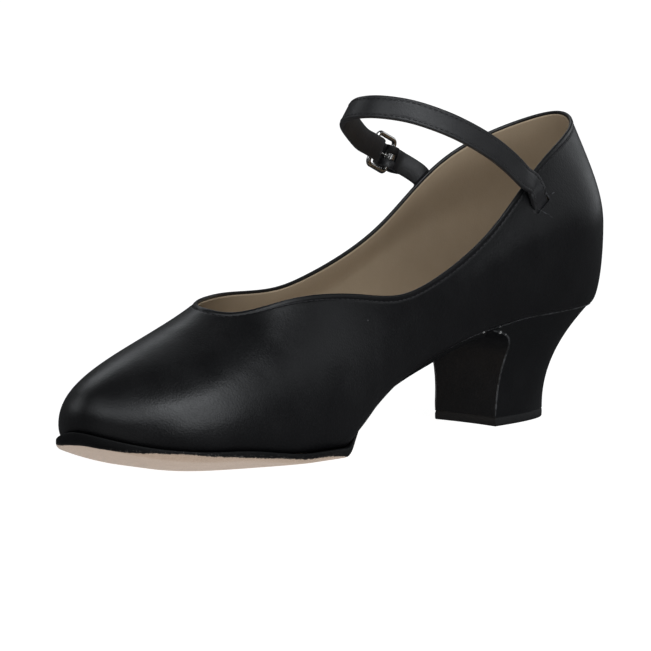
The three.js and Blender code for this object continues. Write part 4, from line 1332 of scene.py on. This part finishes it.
def add_world():
    world = bpy.data.worlds.new("studio")
    bpy.context.scene.world = world
    world.use_nodes = True
    tree = world.node_tree
    height = tree.nodes.new("ShaderNodeSeparateXYZ")
    tree.links.new(tree.nodes.new("ShaderNodeTexCoord").outputs["Generated"], height.inputs["Vector"])
    glow = tree.nodes.new("ShaderNodeValToRGB")
    glow.color_ramp.elements[0].position = 0.15
    glow.color_ramp.elements[0].color = (0.03, 0.031, 0.032, 1)
    glow.color_ramp.elements[1].position = 0.55
    glow.color_ramp.elements[1].color = (0.018, 0.0185, 0.019, 1)
    low = glow.color_ramp.elements.new(0.42)
    low.color = (0.05, 0.0515, 0.053, 1)
    share = tree.nodes.new("ShaderNodeMapRange")
    share.inputs["From Min"].default_value = -1.0
    tree.links.new(height.outputs["Z"], share.inputs["Value"])
    tree.links.new(share.outputs["Result"], glow.inputs["Fac"])
    toward = tree.nodes.new("ShaderNodeVectorMath")
    toward.operation = "DOT_PRODUCT"
    toward.inputs[1].default_value = way_from(*FLOOR_GLOW)
    tree.links.new(height.inputs["Vector"].links[0].from_socket, toward.inputs[0])
    near = tree.nodes.new("ShaderNodeMapRange")
    near.inputs["From Min"].default_value = 0.78
    near.inputs["To Max"].default_value = 0.14
    tree.links.new(toward.outputs["Value"], near.inputs["Value"])
    both = tree.nodes.new("ShaderNodeVectorMath")
    tree.links.new(glow.outputs["Color"], both.inputs[0])
    tree.links.new(near.outputs["Result"], both.inputs[1])
    tree.links.new(both.outputs["Vector"], tree.nodes["Background"].inputs["Color"])


def build():
    shell = make_upper()
    nodes, shape = strap_nodes(), (lambda t: (1.0, 1.0))
    wide = strip_section(STRAP_WIDTH + 2 * SLIT_CLEARANCE, STRAP_THICKNESS + 2 * SLIT_CLEARANCE, 0.5)
    rings = sweep(nodes, wide, 460, shape)[0]
    boolean(shell, "DIFFERENCE", capped("strap_slit", rings[18:120]))
    narrow = strip_section(TAB_WIDTH + 2 * SLIT_CLEARANCE, TAB_THICKNESS + 2 * SLIT_CLEARANCE, 0.5)
    rings = sweep(tab_nodes(), narrow, 120, shape)[0]
    boolean(shell, "DIFFERENCE", capped("tab_slit", rings[20:100]))
    shell.data.materials.clear()
    shell.data.materials.append(black)
    piece(shell, "upper_leather", "upper")
    piece(make_lining(), "sock")
    piece(make_topline_stitches(), "upper_leather")
    strap, strap_rows = make_strap()
    piece(strap, "strap_leather", "strap")
    tab, tab_rows = make_tab()
    piece(tab, "strap_leather", "buckle_tab")
    for i, (line, out) in enumerate(strap_rows):
        piece(stitches(f"strap_stitches_{i + 1}", line, out, thread, 2.0, 1.5, 0.17), "strap_leather")
    for i, (line, out) in enumerate(tab_rows):
        piece(stitches(f"tab_stitches_{i + 1}", line, out, thread, 2.0, 1.5, 0.17), "strap_leather")
    piece(make_buckle_frame(), "buckle_metal", "buckle_frame")
    piece(make_prong(), "buckle_metal", "buckle_prong")
    piece(make_outsole(), "suede_sole", "outsole")
    piece(make_insole(), "sock", "insole")
    piece(make_heel(), "heel_cover", "heel")
    piece(make_heel_tip(), "top_piece", "heel_tip")
    # These cords are drawn in light grey as painted highlights along the seat seam and the breast's corners.
    piece(cord("seat_seam", *seat_seam(), CORD_RADIUS, painted_highlight_edge), "heel_cover")
    piece(cord("breast_edge_inner", *breast_edge(0), CORD_RADIUS * 1.3, painted_highlight_edge), "heel_cover")
    piece(cord("breast_edge_outer", *breast_edge(-1), CORD_RADIUS * 1.3, painted_highlight_edge), "heel_cover")
    piece(make_specks(), "heel_cover")
    for mark in make_marks():
        piece(mark, "upper_leather")


add_camera()
build()
add_floor()
add_world()
for name, *box in SOFT_BOXES:
    add_light(name, *box)
bpy.context.scene.view_settings.view_transform = "Standard"
